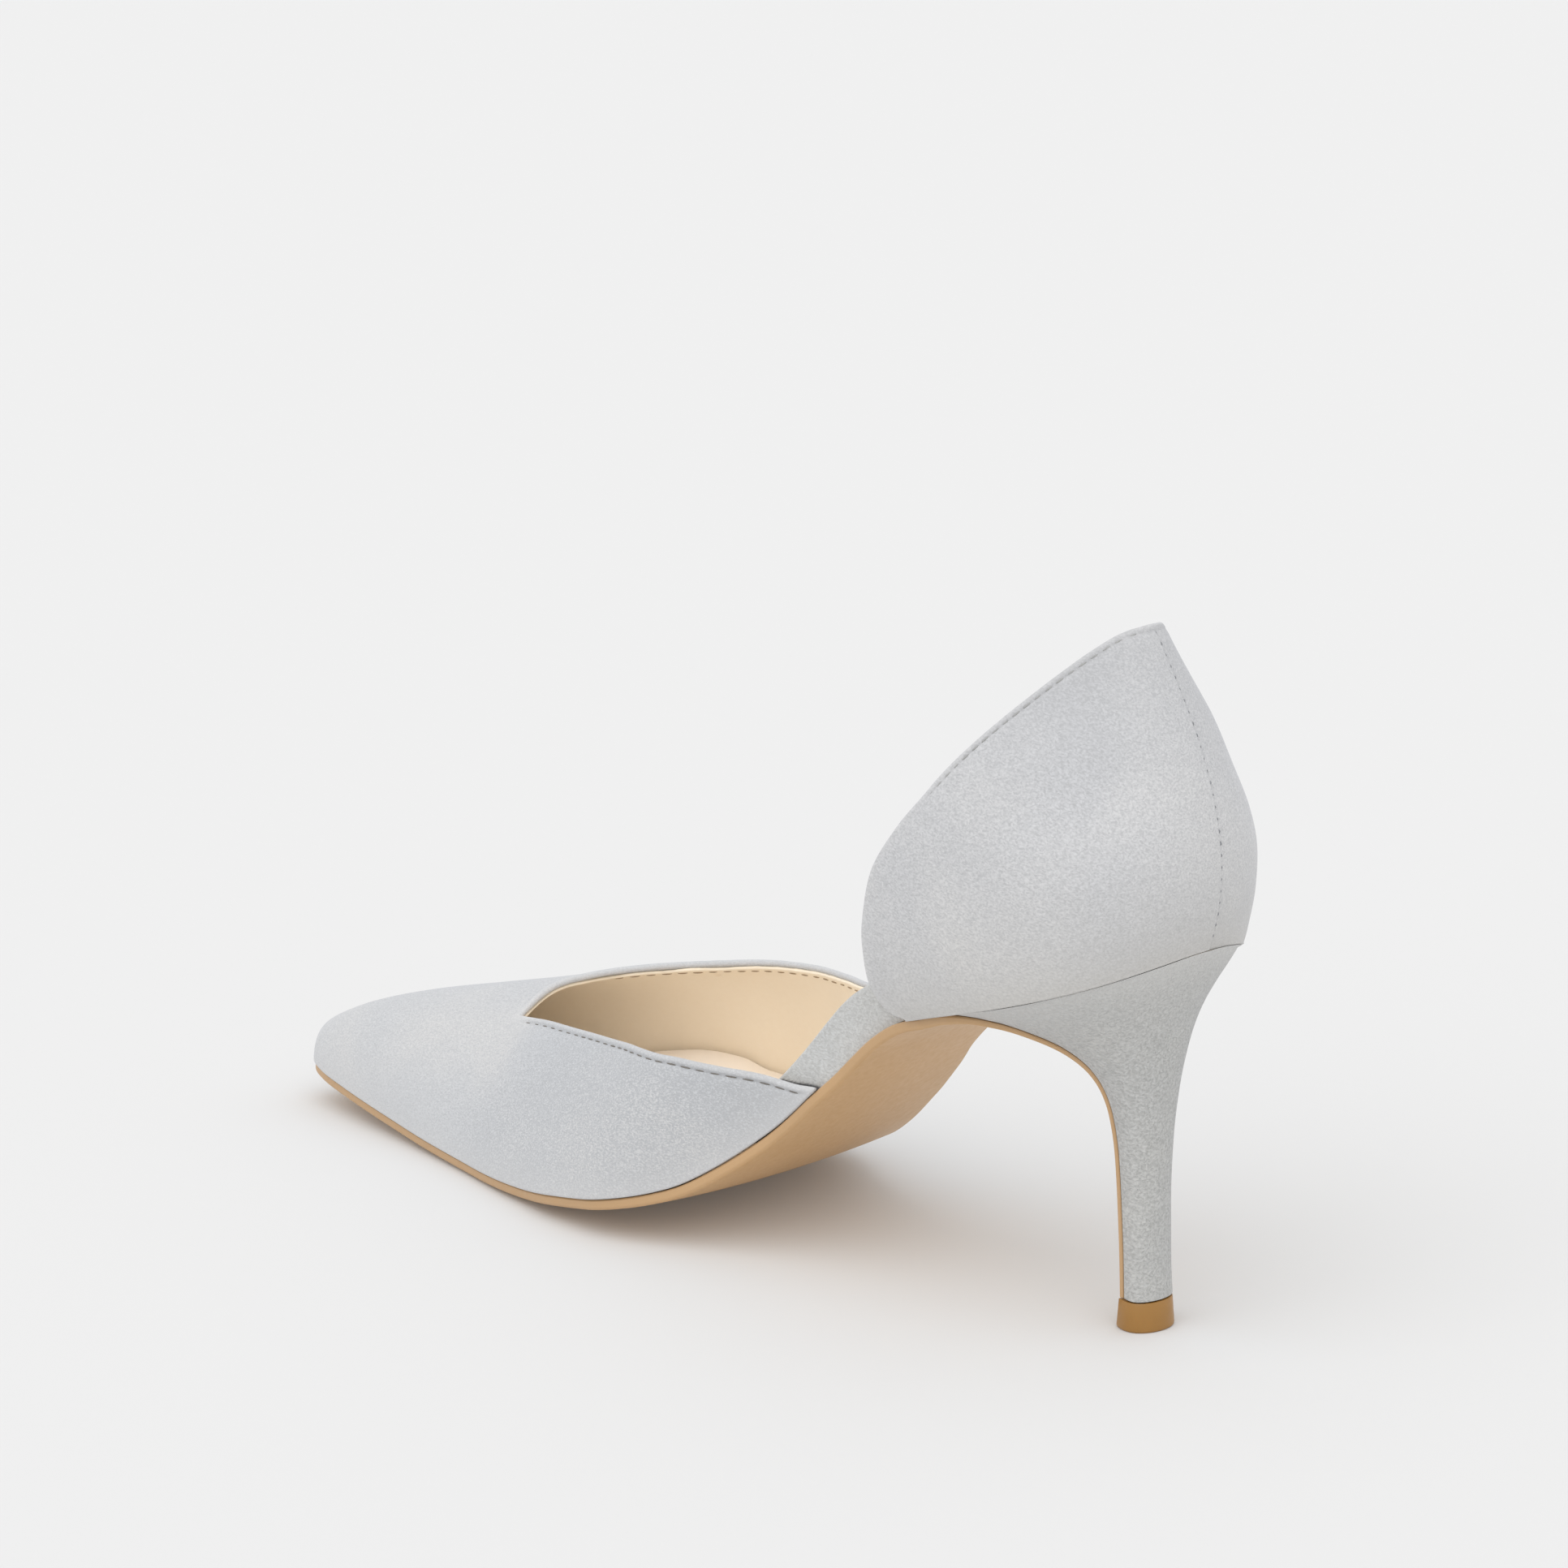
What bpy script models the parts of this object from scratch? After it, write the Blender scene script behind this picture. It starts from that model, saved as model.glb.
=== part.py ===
# A high-heeled pump with cut-away sides, standing on its sole.
# Tables and sizes are in millimetres: x runs from just behind the heel to the toe,
# y to the shoe's left (its inner side) from the middle of the heel, z up from the floor.

import math
from collections import namedtuple

import bmesh
import bpy
import numpy as np
from mathutils import Vector

MM = 0.001

# Driving dimensions
WALL = 1.8                  # upper wall: suede, stiffener and lining
GAP = 0.3                   # clearance between pieces that meet
RIM_DROP = 0.25             # the vamp's wall leans, so its lower edge dips on the inside
SEAT_BACK = 10.2            # x of the back of the heel seat
SEAT_HEIGHT = 71.7          # height of the heel seat at its back
SEAT_PITCH = math.radians(19.7)
SEAT_SAG_FADE = 18.0        # the hollow of the seat is lost in the counter at this height
TOE_X = 239.5
THROAT_X = 182.5            # point of the V at the throat
WING_X = 89.5               # back ends of the vamp's two wings
WING_FLARE = 1.0            # the wings stand this far outside the sole at the waist
WING_FLARE_BACK, WING_FLARE_FRONT = 76.0, 112.0
SOLE_THICKNESS = 2.0
SOLE_INSET = 0.6            # the upper overhangs the sole's edge
SOLE_EDGE_ROUND = 0.7
SOLE_EDGE_HEIGHT = 0.45     # where the sole's edge starts to round under, in its thickness
BREAST_START = 62.0         # where the outsole starts to turn down the heel
STRIP_BACK_HEIGHT, STRIP_FRONT_HEIGHT = 8.4, 7.2
STRIP_THICKNESS = 1.2
STRIP_ROUND = 0.4           # rounding of the strip's top edge
STRIP_BACK, STRIP_FRONT = 69.0, 104.0
STRIP_SETTING = 0.2         # further clearance of the strip inside the upper
STRIP_NEAR, STRIP_FAR = 2.0, 8.0   # past the strips the insole widens again between these
INSOLE_FRONT = 233.0
INSOLE_EDGE_ROUND = 1.0
TOP_PIECE_HEIGHT = 5.4
NARROWEST = 0.4             # half width at which insole and outsole end
SHARP_ANGLE = math.radians(40)

# Where the upper meets the sole: its height and its inner and outer edges
Feather = namedtuple("Feather", "x height medial lateral")
FEATHER = (
    Feather(10.2, 71.7, 0, 0),
    Feather(12, 70.6, 9, -9),
    Feather(18, 67.7, 17.5, -17.5),
    Feather(30, 63.2, 22.5, -22.5),
    Feather(42, 59.2, 22, -22),
    Feather(54, 55.5, 20.3, -20.3),
    Feather(62, 53.0, 19.2, -19),
    Feather(70, 50.2, 18.3, -17.6),
    Feather(76, 46.5, 17.8, -17.4),
    Feather(82, 41.3, 17.5, -17.8),
    Feather(90, 33.5, 17.7, -19),
    Feather(100, 24.3, 19, -22.5),
    Feather(110, 16.2, 24.5, -26),
    Feather(118, 11.5, 28, -29),
    Feather(126, 8.9, 31.5, -33.5),
    Feather(136, 6.7, 33, -37.5),
    Feather(146, 5.0, 31.8, -38.5),
    Feather(160, 3.1, 28.5, -37),
    Feather(176, 2.4, 24.2, -32.8),
    Feather(192, 2.8, 20.3, -26.7),
    Feather(208, 4.1, 16.9, -19),
    Feather(224, 6.0, 13.8, -9.6),
    Feather(233, 7.2, 11.5, -3.0),
    Feather(237, 7.8, 9.4, 0.6),
    Feather(TOE_X, 8.2, 5, 5),
)

# Arches of the last over the forefoot: the ridge, and how square each side is
Arch = namedtuple("Arch", "x ridge_y ridge_z medial_fullness lateral_fullness")
ARCHES = (
    Arch(84, -2, 80, 2.2, 2.2),
    Arch(100, -3, 69, 2.2, 2.2),
    Arch(118, -4, 58.5, 2.0, 2.0),
    Arch(128, -4.5, 53, 1.75, 2.1),
    Arch(146, -5.5, 45, 1.5, 2.4),
    Arch(162, -6, 38.5, 1.5, 2.6),
    Arch(184, -6, 31.5, 1.5, 2.4),
    Arch(200, -3.5, 27.8, 1.7, 2.2),
    Arch(212, -1.5, 25, 1.8, 2.1),
    Arch(224, 1.5, 21.5, 1.9, 2.0),
    Arch(232, 3, 18.2, 2.0, 2.0),
    Arch(237, 4.3, 15.2, 2.0, 2.0),
    Arch(TOE_X, 5, 12.4, 2.0, 2.0),
)

# Top edge of the vamp, in degrees round the arch from the feather on each side.
# In front of the throat the two sides meet, so the two turns make up 180.
Topline = namedtuple("Topline", "x medial_turn lateral_turn")
TOPLINE = (
    Topline(WING_X, 0.4, 5),
    Topline(94, 4.7, 10.6),
    Topline(99, 10.2, 16.8),
    Topline(107.5, 20, 28),
    Topline(117, 29.6, 36.8),
    Topline(128, 39.2, 43.4),
    Topline(136, 44.4, 47.6),
    Topline(146, 48.7, 53.3),
    Topline(162, 54.6, 65.2),
    Topline(173, 58.5, 80.5),
    Topline(179.6, 60.2, 96),
    Topline(181.8, 60.8, 105),
    Topline(THROAT_X, 61, 119),
    Topline(212, 76, 104),
    Topline(TOE_X, 90, 90),
)

# Heel counter in rows parallel to the heel seat: height over the seat, distance along
# the seat of the back and of the front edge, widest half width, roundness of the back
# and half width at the front edge
CounterRow = namedtuple("CounterRow", "height back front half back_radius front_half")
COUNTER = (
    CounterRow(0, 0, 59, 22.5, 22, 19.3),
    CounterRow(1.2, -0.9, 61.2, 22.9, 22.2, 19.6),
    CounterRow(3.5, -2.5, 63, 23.5, 22.4, 20),
    CounterRow(8, -5.4, 64, 24.4, 22.6, 20.8),
    CounterRow(15, -8.3, 62.5, 25, 22.6, 21.6),
    CounterRow(22, -9.7, 58.5, 24.8, 20, 22.4),
    CounterRow(28, -10.2, 53.5, 24.4, 16, 22.9),
    CounterRow(34, -10.1, 44.5, 23.7, 13.4, 23),
    CounterRow(39, -9.6, 35, 22.6, 12, 22.3),
    CounterRow(43, -9, 27.6, 21.4, 10.2, 20.8),
    CounterRow(47, -8.3, 19.5, 20, 8.4, 18.6),
    CounterRow(50.5, -7.6, 11.8, 18.5, 7.2, 15.8),
    CounterRow(53.5, -7, 5, 16.5, 6.4, 12),
    CounterRow(55.6, -6.5, 0, 14.5, 6, 8.9),
    CounterRow(56.8, -6.1, -3, 12, 5.5, 5.6),
    CounterRow(57.2, -6, -4.7, 10, 5, 3.3),
)

# The insole: its thickness at the edges, and how far its middle is dished below them.
# It turns up against the sides at the ball and thins into the toe.
Padding = namedtuple("Padding", "x thickness dish")
INSOLE = (
    Padding(12.8, 4.5, 0.8),
    Padding(45, 5.5, 0.8),
    Padding(72, 7.6, 0.8),
    Padding(104, 6.6, 0.8),
    Padding(124, 7.2, 0.8),
    Padding(146, 8, 0.8),
    Padding(154, 9.4, 1.4),
    Padding(160, 11.7, 2.8),
    Padding(168, 12.6, 3.4),
    Padding(177, 11.6, 3.0),
    Padding(188, 8, 1.5),
    Padding(200, 4.6, 0.8),
    Padding(215, 3.2, 0.8),
    Padding(INSOLE_FRONT, 1.8, 0.8),
)

# How far the middle of the outsole hangs below its edge
Crown = namedtuple("Crown", "x drop")
SOLE_CROWN = (
    Crown(BREAST_START, 0.6),
    Crown(100, 0.7),
    Crown(118, 1.0),
    Crown(136, 2.6),
    Crown(152, 3.4),
    Crown(176, 1.2),
    Crown(192, 1.4),
    Crown(212, 0.9),
    Crown(TOE_X, 0.1),
)

# The heel from its seat down: the outer face of the outsole on its breast, with its half
# width and thickness, and behind it the back and the widest half width of the heel
Breast = namedtuple("Breast", "x z half thickness back_x back_z heel_half")
BREAST = (
    Breast(BREAST_START, 51.0, 18.4, SOLE_THICKNESS, 9.0, 73.5, 22),
    Breast(56, 53.0, 18.8, 1.7, 9.6, 72.6, 21.9),
    Breast(51, 53.8, 17.6, 1.3, 10.6, 70.8, 21.3),
    Breast(47, 53.2, 15, 1.1, 12, 68.2, 19.2),
    Breast(42, 51.5, 11.5, 1, 14, 64.4, 15.4),
    Breast(37, 49.2, 8.6, 1, 16, 60.4, 12),
    Breast(33, 46.3, 6.9, 1, 17.7, 55.6, 9.2),
    Breast(30.8, 43, 5.9, 1, 19, 50.2, 7.4),
    Breast(29.5, 39, 5.3, 1, 20.1, 44.2, 6.2),
    Breast(28.7, 32, 4.7, 1, 21.1, 35.2, 5.2),
    Breast(28.2, 22, 4.5, 1, 21.7, 24, 4.8),
    Breast(27.9, 12, 4.4, 1, 21.8, 12.6, 4.8),
    Breast(27.8, TOP_PIECE_HEIGHT + GAP, 4.4, 1, 21.5, TOP_PIECE_HEIGHT + GAP, 4.9),
)
HEEL_LIP_X = 53.6           # front edge of the heel's seat
HEEL_LIP_HALF = 19.0
HEEL_SEAT_INSET = 0.8       # the counter overhangs the heel
HEEL_MIDDLE = 0.55          # widest place of the heel, from its back

# The top piece under the heel from its top to the floor, in D-shaped sections
Tip = namedtuple("Tip", "z front back front_half half")
TOP_PIECE = (
    Tip(TOP_PIECE_HEIGHT, 27.9, 21.3, 4.1, 5.0),
    Tip(0.5, 28.3, 20.9, 4.5, 5.4),
    Tip(0.0, 28.0, 21.2, 4.2, 5.1),
)

# How finely each piece is divided
WING_COLUMNS, TOE_COLUMNS, VAMP_ROWS = 19, 12, 9
WING_CLOSING, TOE_CLOSING = 1.5, 2.0
COUNTER_STEPS, COUNTER_SUBROWS = 13, 2
STRIP_STATIONS = 12
STATION_SPACING = 5.0
ROUND_STEPS, ROUND_LENGTH = 6, 18.0
BREAST_STATIONS = 20
HEEL_STATIONS = 20
HEEL_STEPS = 10
HEEL_SIDE = (0.0, 0.35, 0.7, 1.0)
SOLE_TOP_ACROSS = (-1.0, -0.5, 0.0, 0.5, 1.0)
SOLE_ACROSS = (1.0, 0.62, 0.0, -0.62, -1.0)
INSOLE_ACROSS = (1.0, 0.6, 0.0, -0.6, -1.0)
SPAN = 0.4                  # distance over which a slope is measured


def smooth_curve(knots, values):
    # Cubic curve through the values that never overshoots them
    x = np.array(knots, float)
    y = np.array(values, float)
    step = np.diff(x)
    slope = np.diff(y) / step
    tangent = np.zeros_like(y)
    tangent[0], tangent[-1] = slope[0], slope[-1]
    for i in range(1, len(x) - 1):
        if slope[i - 1] * slope[i] > 0:
            before = 2 * step[i] + step[i - 1]
            after = step[i] + 2 * step[i - 1]
            tangent[i] = (before + after) / (before / slope[i - 1] + after / slope[i])

    def at(place):
        place = np.clip(place, x[0], x[-1])
        i = np.clip(np.searchsorted(x, place) - 1, 0, len(x) - 2)
        u = (place - x[i]) / step[i]
        start = y[i] * (1 + 2 * u) * (1 - u) ** 2 + step[i] * tangent[i] * u * (1 - u) ** 2
        end = y[i + 1] * u * u * (3 - 2 * u) + step[i] * tangent[i + 1] * u * u * (u - 1)
        return start + end

    return at


def column(rows, name):
    return [getattr(row, name) for row in rows]


def curve_of(rows, name, along="x"):
    return smooth_curve(column(rows, along), column(rows, name))


def smooth_step(place, start, end):
    u = min(max((place - start) / (end - start), 0.0), 1.0)
    return u * u * (3 - 2 * u)


def stations(back, front, round_back):
    # Evenly spaced stations that close up into a round toe and, if asked, a round back
    steps = np.linspace(0.0, 1.0, ROUND_STEPS + 1)
    start = back + ROUND_LENGTH if round_back else back
    end = front - ROUND_LENGTH
    count = round((end - start) / STATION_SPACING)
    places = list(np.linspace(start, end, count, endpoint=False))
    places += list(front - ROUND_LENGTH * (1 - steps) ** 2)
    if round_back:
        places = list(back + ROUND_LENGTH * steps[:-1] ** 2) + places
    return places


# The feather line
feather_height = curve_of(FEATHER, "height")
feather_middle = smooth_curve(
    column(FEATHER, "x"), [(row.medial + row.lateral) / 2 for row in FEATHER])
feather_half_squared = smooth_curve(
    column(FEATHER, "x"), [((row.medial - row.lateral) / 2) ** 2 for row in FEATHER])


def feather_half(x):
    # The square of the half width is what runs smoothly into the round toe and seat
    return math.sqrt(max(float(feather_half_squared(x)), 0.0))


def feather_normal(x):
    # Upward normal of the feather line, seen from the side
    rise = float(feather_height(x + SPAN) - feather_height(x - SPAN))
    run = min(x + SPAN, TOE_X) - max(x - SPAN, SEAT_BACK)
    length = math.hypot(run, rise)
    return -rise / length, run / length


def over_feather(x, y, lift):
    # A point at a perpendicular height over the feather line
    nx, nz = feather_normal(x)
    return x + nx * lift, y, float(feather_height(x)) + nz * lift


def upper_half(x):
    # Half width of the upper, which flares over the sole at the ends of its wings
    rise = smooth_step(x, WING_FLARE_BACK, WING_X)
    return feather_half(x) + WING_FLARE * rise * (1 - smooth_step(x, WING_X, WING_FLARE_FRONT))


def inside_half(x, room):
    # Half width of the space left when the upper's outline is drawn in square to itself
    lean = (upper_half(min(x + SPAN, TOE_X)) - upper_half(max(x - SPAN, SEAT_BACK))) / (2 * SPAN)
    return upper_half(x) - room * math.hypot(1.0, lean)


# Meshes and materials
def new_material(name, colour, roughness):
    material = bpy.data.materials.new(name)
    material.use_nodes = True
    shader = material.node_tree.nodes["Principled BSDF"]
    shader.inputs["Base Color"].default_value = (*colour, 1.0)
    shader.inputs["Roughness"].default_value = roughness
    shader.inputs["Metallic"].default_value = 0.0
    return material


def new_object(name, points, faces, material, collection):
    mesh = bpy.data.meshes.new(name)
    mesh.from_pydata([Vector(p) * MM for p in points], [], faces)
    mesh.materials.append(material)
    obj = bpy.data.objects.new(name, mesh)
    collection.objects.link(obj)
    return obj


def finish(obj):
    # Faces outwards and smooth shading, with the real edges left sharp
    work = bmesh.new()
    work.from_mesh(obj.data)
    bmesh.ops.recalc_face_normals(work, faces=work.faces)
    work.to_mesh(obj.data)
    work.free()
    obj.data.shade_smooth()
    obj.data.set_sharp_from_angle(angle=SHARP_ANGLE)


def add_wall(obj, outward):
    # Turn an open skin to face the given way at its first face, then thicken it inwards
    obj.data.shade_smooth()
    if obj.data.polygons[0].normal.dot(Vector(outward)) < 0:
        obj.data.flip_normals()
    wall = obj.modifiers.new("wall", "SOLIDIFY")
    wall.thickness = WALL * MM
    wall.offset = -1.0
    wall.use_even_offset = True
    wall.use_quality_normals = True


def cap(start, count):
    # Close a ring with a ladder of faces between its two sides, from its first point on
    faces = [(start, start + 1, start + count - 1)]
    for i in range(1, count // 2):
        a, b = start + i, start + count - i
        if a + 2 == b:
            faces.append((a, a + 1, b))
        elif a + 1 < b:
            faces.append((a, a + 1, b - 1, b))
    return faces


def loft(name, rings, material, collection):
    # Skin over closed rings of equal length, with its two ends closed
    count = len(rings[0])
    points = [p for ring in rings for p in ring]
    faces = []
    for r in range(len(rings) - 1):
        for i in range(count):
            j = (i + 1) % count
            a, b = r * count, (r + 1) * count
            faces.append((a + i, a + j, b + j, b + i))
    faces += cap(0, count) + cap(len(points) - count, count)
    obj = new_object(name, points, faces, material, collection)
    finish(obj)
    return obj


# Upper: vamp
ridge_y = curve_of(ARCHES, "ridge_y")
ridge_z = curve_of(ARCHES, "ridge_z")
medial_fullness = curve_of(ARCHES, "medial_fullness")
lateral_fullness = curve_of(ARCHES, "lateral_fullness")
medial_turn = curve_of(TOPLINE, "medial_turn")
lateral_turn = curve_of(TOPLINE, "lateral_turn")


def arch_point(x, turn, side):
    # A point of the last, turned round the arch from the feather on the given side.
    # Past 90 degrees it has crossed the ridge and lies on the other side.
    if turn > 90:
        return arch_point(x, 180 - turn, -side)
    fullness = float(medial_fullness(x) if side > 0 else lateral_fullness(x))
    edge = float(feather_middle(x)) + side * upper_half(x)
    base = float(feather_height(x)) + GAP + RIM_DROP
    top = float(ridge_y(x))
    angle = math.radians(turn)
    across = math.cos(angle) ** (2 / fullness)
    up = math.sin(angle) ** (2 / fullness)
    return x, top + (edge - top) * across, base + (float(ridge_z(x)) - base) * up


def vamp_stations():
    # Columns close up towards the throat and towards the tip of the toe
    wing = [WING_X + (THROAT_X - WING_X) * (1 - (1 - i / WING_COLUMNS) ** WING_CLOSING)
            for i in range(WING_COLUMNS)]
    toe = [THROAT_X + (TOE_X - THROAT_X) * (1 - (1 - i / TOE_COLUMNS) ** TOE_CLOSING)
           for i in range(TOE_COLUMNS + 1)]
    return wing + toe


def build_vamp(material, collection):
    # Columns run from the feather up to the topline, or to where the two sides meet
    points, faces = [], []
    seam = {}
    for side, turn in ((1, medial_turn), (-1, lateral_turn)):
        grid = []
        for x in vamp_stations():
            top = float(turn(x))
            ids = []
            for row in range(VAMP_ROWS + 1):
                u = row / VAMP_ROWS
                joined = (x >= THROAT_X and row == VAMP_ROWS) or x == TOE_X
                key = (x, row)
                if joined and key in seam:
                    ids.append(seam[key])
                    continue
                if joined:
                    seam[key] = len(points)
                ids.append(len(points))
                points.append(arch_point(x, top * u, side))
            grid.append(ids)
        for a, b in zip(grid, grid[1:]):
            for row in range(VAMP_ROWS):
                patch = [(a[row], b[row], b[row + 1], a[row + 1])]
                if b is grid[-1] and row == VAMP_ROWS - 1:
                    # Both halves share three corners of this patch at the tip of the toe
                    low, tip_low, tip, high = patch[0]
                    patch = [(low, tip_low, tip), (low, tip, high)]
                faces += patch if side > 0 else [face[::-1] for face in patch]
    obj = new_object("upper_vamp", points, faces, material, collection)
    add_wall(obj, (0, 1, 0))
    return obj


# Upper: counter
def seat_point(along, y, height):
    # From distances along and over the pitched heel seat to the shoe's own axes
    x = SEAT_BACK + along * math.cos(SEAT_PITCH) + height * math.sin(SEAT_PITCH)
    z = SEAT_HEIGHT - along * math.sin(SEAT_PITCH) + height * math.cos(SEAT_PITCH)
    sag = SEAT_HEIGHT - (x - SEAT_BACK) * math.tan(SEAT_PITCH) - float(feather_height(x))
    sag *= 1 - smooth_step(height, 0.0, SEAT_SAG_FADE)
    return x, y, z - max(sag, 0.0)


def counter_half(row, along):
    # Half width of a counter row: a rounded back, then sides that run to the front edge
    depth = row.half ** 2 / row.back_radius
    from_back = along - row.back
    if from_back < depth:
        return row.half * math.sqrt(max(1 - (1 - from_back / depth) ** 2, 0.0))
    u = (from_back - depth) / (row.front - row.back - depth)
    return row.half + (row.front_half - row.half) * u * u


def counter_rows():
    curves = {name: curve_of(COUNTER, name, "height") for name in CounterRow._fields[1:]}
    heights = []
    for low, high in zip(COUNTER, COUNTER[1:]):
        for i in range(COUNTER_SUBROWS):
            heights.append(low.height + (high.height - low.height) * i / COUNTER_SUBROWS)
    heights.append(COUNTER[-1].height)
    return [CounterRow(h, *(float(curves[name](h)) for name in CounterRow._fields[1:])) for h in heights]


def build_counter(material, collection):
    points, faces = [], []
    count = 2 * COUNTER_STEPS + 1
    for row in counter_rows():
        for i in range(count):
            u = i / COUNTER_STEPS - 1
            along = row.back + (row.front - row.back) * u * u
            y = math.copysign(counter_half(row, along), -u)
            points.append(seat_point(along, y, row.height + GAP))
    for r in range(len(points) // count - 1):
        for i in range(count - 1):
            a = r * count + i
            faces.append((a, a + count, a + count + 1, a + 1))
    obj = new_object("upper_counter", points, faces, material, collection)
    add_wall(obj, (0, 1, 0))
    return obj


# Waist strips and insole
def strip_outer(x):
    return upper_half(x) - WALL - GAP - STRIP_SETTING


def strip_window(x):
    # One where the strips lie against the insole, fading to nothing past their ends
    rise = smooth_step(x, STRIP_BACK - STRIP_FAR, STRIP_BACK - STRIP_NEAR)
    return rise * (1 - smooth_step(x, STRIP_FRONT + STRIP_NEAR, STRIP_FRONT + STRIP_FAR))


def vamp_half(x, side, lift):
    # Distance of the last's side from the middle line, at a height over the feather
    fullness = float(medial_fullness(x) if side > 0 else lateral_fullness(x))
    height = float(ridge_z(x) - feather_height(x))
    up = min(max(lift / height, 0.0), 1.0)
    across = (1 - up ** fullness) ** (1 / fullness)
    from_ridge = float(feather_middle(x)) + side * upper_half(x) - float(ridge_y(x))
    return side * (float(ridge_y(x)) + from_ridge * across - float(feather_middle(x)))


def insole_half(x, side, lift):
    # Half width inside the upper's wall, measured square to its lean, and inside the strips
    room = WALL + GAP + STRIP_SETTING
    if x <= WING_X:
        half = inside_half(x, room)
    else:
        outer = vamp_half(x, side, lift)
        taper = (outer - vamp_half(x - SPAN, side, lift)) / SPAN
        lean = (vamp_half(x, side, lift + SPAN) - outer) / SPAN
        half = outer - room * math.hypot(1.0, taper, lean)
    half = min(half, strip_outer(x) - (STRIP_THICKNESS + GAP) * strip_window(x))
    return max(half, NARROWEST)


def build_waist_strip(name, side, material, collection):
    # A band that stands on the sole with its top edge rounded over
    rings = []
    for i in range(STRIP_STATIONS + 1):
        x = STRIP_BACK + (STRIP_FRONT - STRIP_BACK) * i / STRIP_STATIONS
        outer = strip_outer(x)
        inner = outer - STRIP_THICKNESS
        height = STRIP_BACK_HEIGHT + (STRIP_FRONT_HEIGHT - STRIP_BACK_HEIGHT) * i / STRIP_STATIONS
        middle = float(feather_middle(x))
        profile = (
            (outer, GAP),
            (outer, height / 2),
            (outer, height - STRIP_ROUND),
            (outer - STRIP_ROUND, height),
            (inner + STRIP_ROUND, height),
            (inner, height - STRIP_ROUND),
            (inner, GAP),
        )
        rings.append([over_feather(x, middle + side * y, lift) for y, lift in profile])
    return loft(name, rings, material, collection)


def build_insole(material, collection):
    thickness = curve_of(INSOLE, "thickness")
    dish = curve_of(INSOLE, "dish")
    rings = []
    for x in stations(INSOLE[0].x, INSOLE_FRONT, round_back=True):
        top = float(thickness(x))
        medial, lateral = insole_half(x, 1, GAP), insole_half(x, -1, GAP)
        high_medial, high_lateral = insole_half(x, 1, top), insole_half(x, -1, top)
        soft = min(INSOLE_EDGE_ROUND, high_medial / 2, high_lateral / 2, top / 3)
        profile = [(medial, GAP), (high_medial, top - soft)]
        for across in INSOLE_ACROSS:
            half = high_medial if across > 0 else high_lateral
            hollow = float(dish(x)) * (1 - across * across)
            profile.append(((half - soft) * across, top - hollow))
        profile += [(-high_lateral, top - soft), (-lateral, GAP)]
        middle = float(feather_middle(x))
        rings.append([over_feather(x, middle + y, lift) for y, lift in profile])
    return loft("insole", rings, material, collection)


# Outsole, heel and top piece
breast_run = np.concatenate(
    ([0.0], np.cumsum([math.hypot(b.x - a.x, b.z - a.z) for a, b in zip(BREAST, BREAST[1:])])))
breast_at = {name: smooth_curve(breast_run, column(BREAST, name)) for name in Breast._fields}


def breast_row(run):
    return Breast(*(float(breast_at[name](run)) for name in Breast._fields))


def breast_normal(run):
    # From the outer face of the outsole towards the heel, seen from the side
    ahead = breast_row(min(run + SPAN, breast_run[-1]))
    behind = breast_row(max(run - SPAN, 0.0))
    dx, dz = ahead.x - behind.x, ahead.z - behind.z
    length = math.hypot(dx, dz)
    return dz / length, -dx / length


def sole_ring(x, z, normal, middle, half, thickness, crown):
    # Section through the outsole, with the outer face at x, z and no lower than the floor
    nx, nz = normal
    soft = min(SOLE_EDGE_ROUND, half / 3)
    profile = [(half * across, thickness) for across in SOLE_TOP_ACROSS]
    profile.append((half, thickness * SOLE_EDGE_HEIGHT))
    for across in SOLE_ACROSS:
        profile.append(((half - soft) * across, -crown * (1 - across * across)))
    profile.append((-half, thickness * SOLE_EDGE_HEIGHT))
    ring = []
    for y, lift in profile:
        height = z + nz * lift
        if lift <= 0:
            height = max(height, 0.0)
        ring.append((x + nx * lift, middle + y, height))
    return ring


def build_outsole(material, collection):
    crown = curve_of(SOLE_CROWN, "drop")
    rings = []
    for x in stations(BREAST_START, TOE_X - SOLE_INSET, round_back=False)[:0:-1]:
        normal = feather_normal(x)
        half = max(feather_half(x) - SOLE_INSET, NARROWEST)
        face_x, middle, face_z = over_feather(x, float(feather_middle(x)), -SOLE_THICKNESS)
        rings.append(sole_ring(face_x, face_z, normal, middle, half, SOLE_THICKNESS, float(crown(x))))
    for i in range(BREAST_STATIONS + 1):
        run = breast_run[-1] * i / BREAST_STATIONS
        row = breast_row(run)
        fade = SOLE_CROWN[0].drop * (1 - i / BREAST_STATIONS)
        rings.append(sole_ring(row.x, row.z, breast_normal(run), 0.0, row.half,
                               row.thickness, fade))
    return loft("outsole", rings, material, collection)


def d_ring(front, back, front_half, widest):
    # A D-shaped section in a plane across the shoe, flat in front and round behind
    front = np.array(front, float)
    back = np.array(back, float)
    outline = []
    for i in range(HEEL_STEPS):
        angle = math.pi / 2 * i / HEEL_STEPS
        outline.append((HEEL_MIDDLE * (1 - math.cos(angle)), widest * math.sin(angle)))
    for u in HEEL_SIDE:
        outline.append((HEEL_MIDDLE + (1 - HEEL_MIDDLE) * u, widest + (front_half - widest) * u * u))
    ring = []
    for depth, y in outline + [(d, -y) for d, y in outline[:0:-1]]:
        x, z = back + (front - back) * depth
        ring.append((x, y, z))
    return ring


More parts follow.
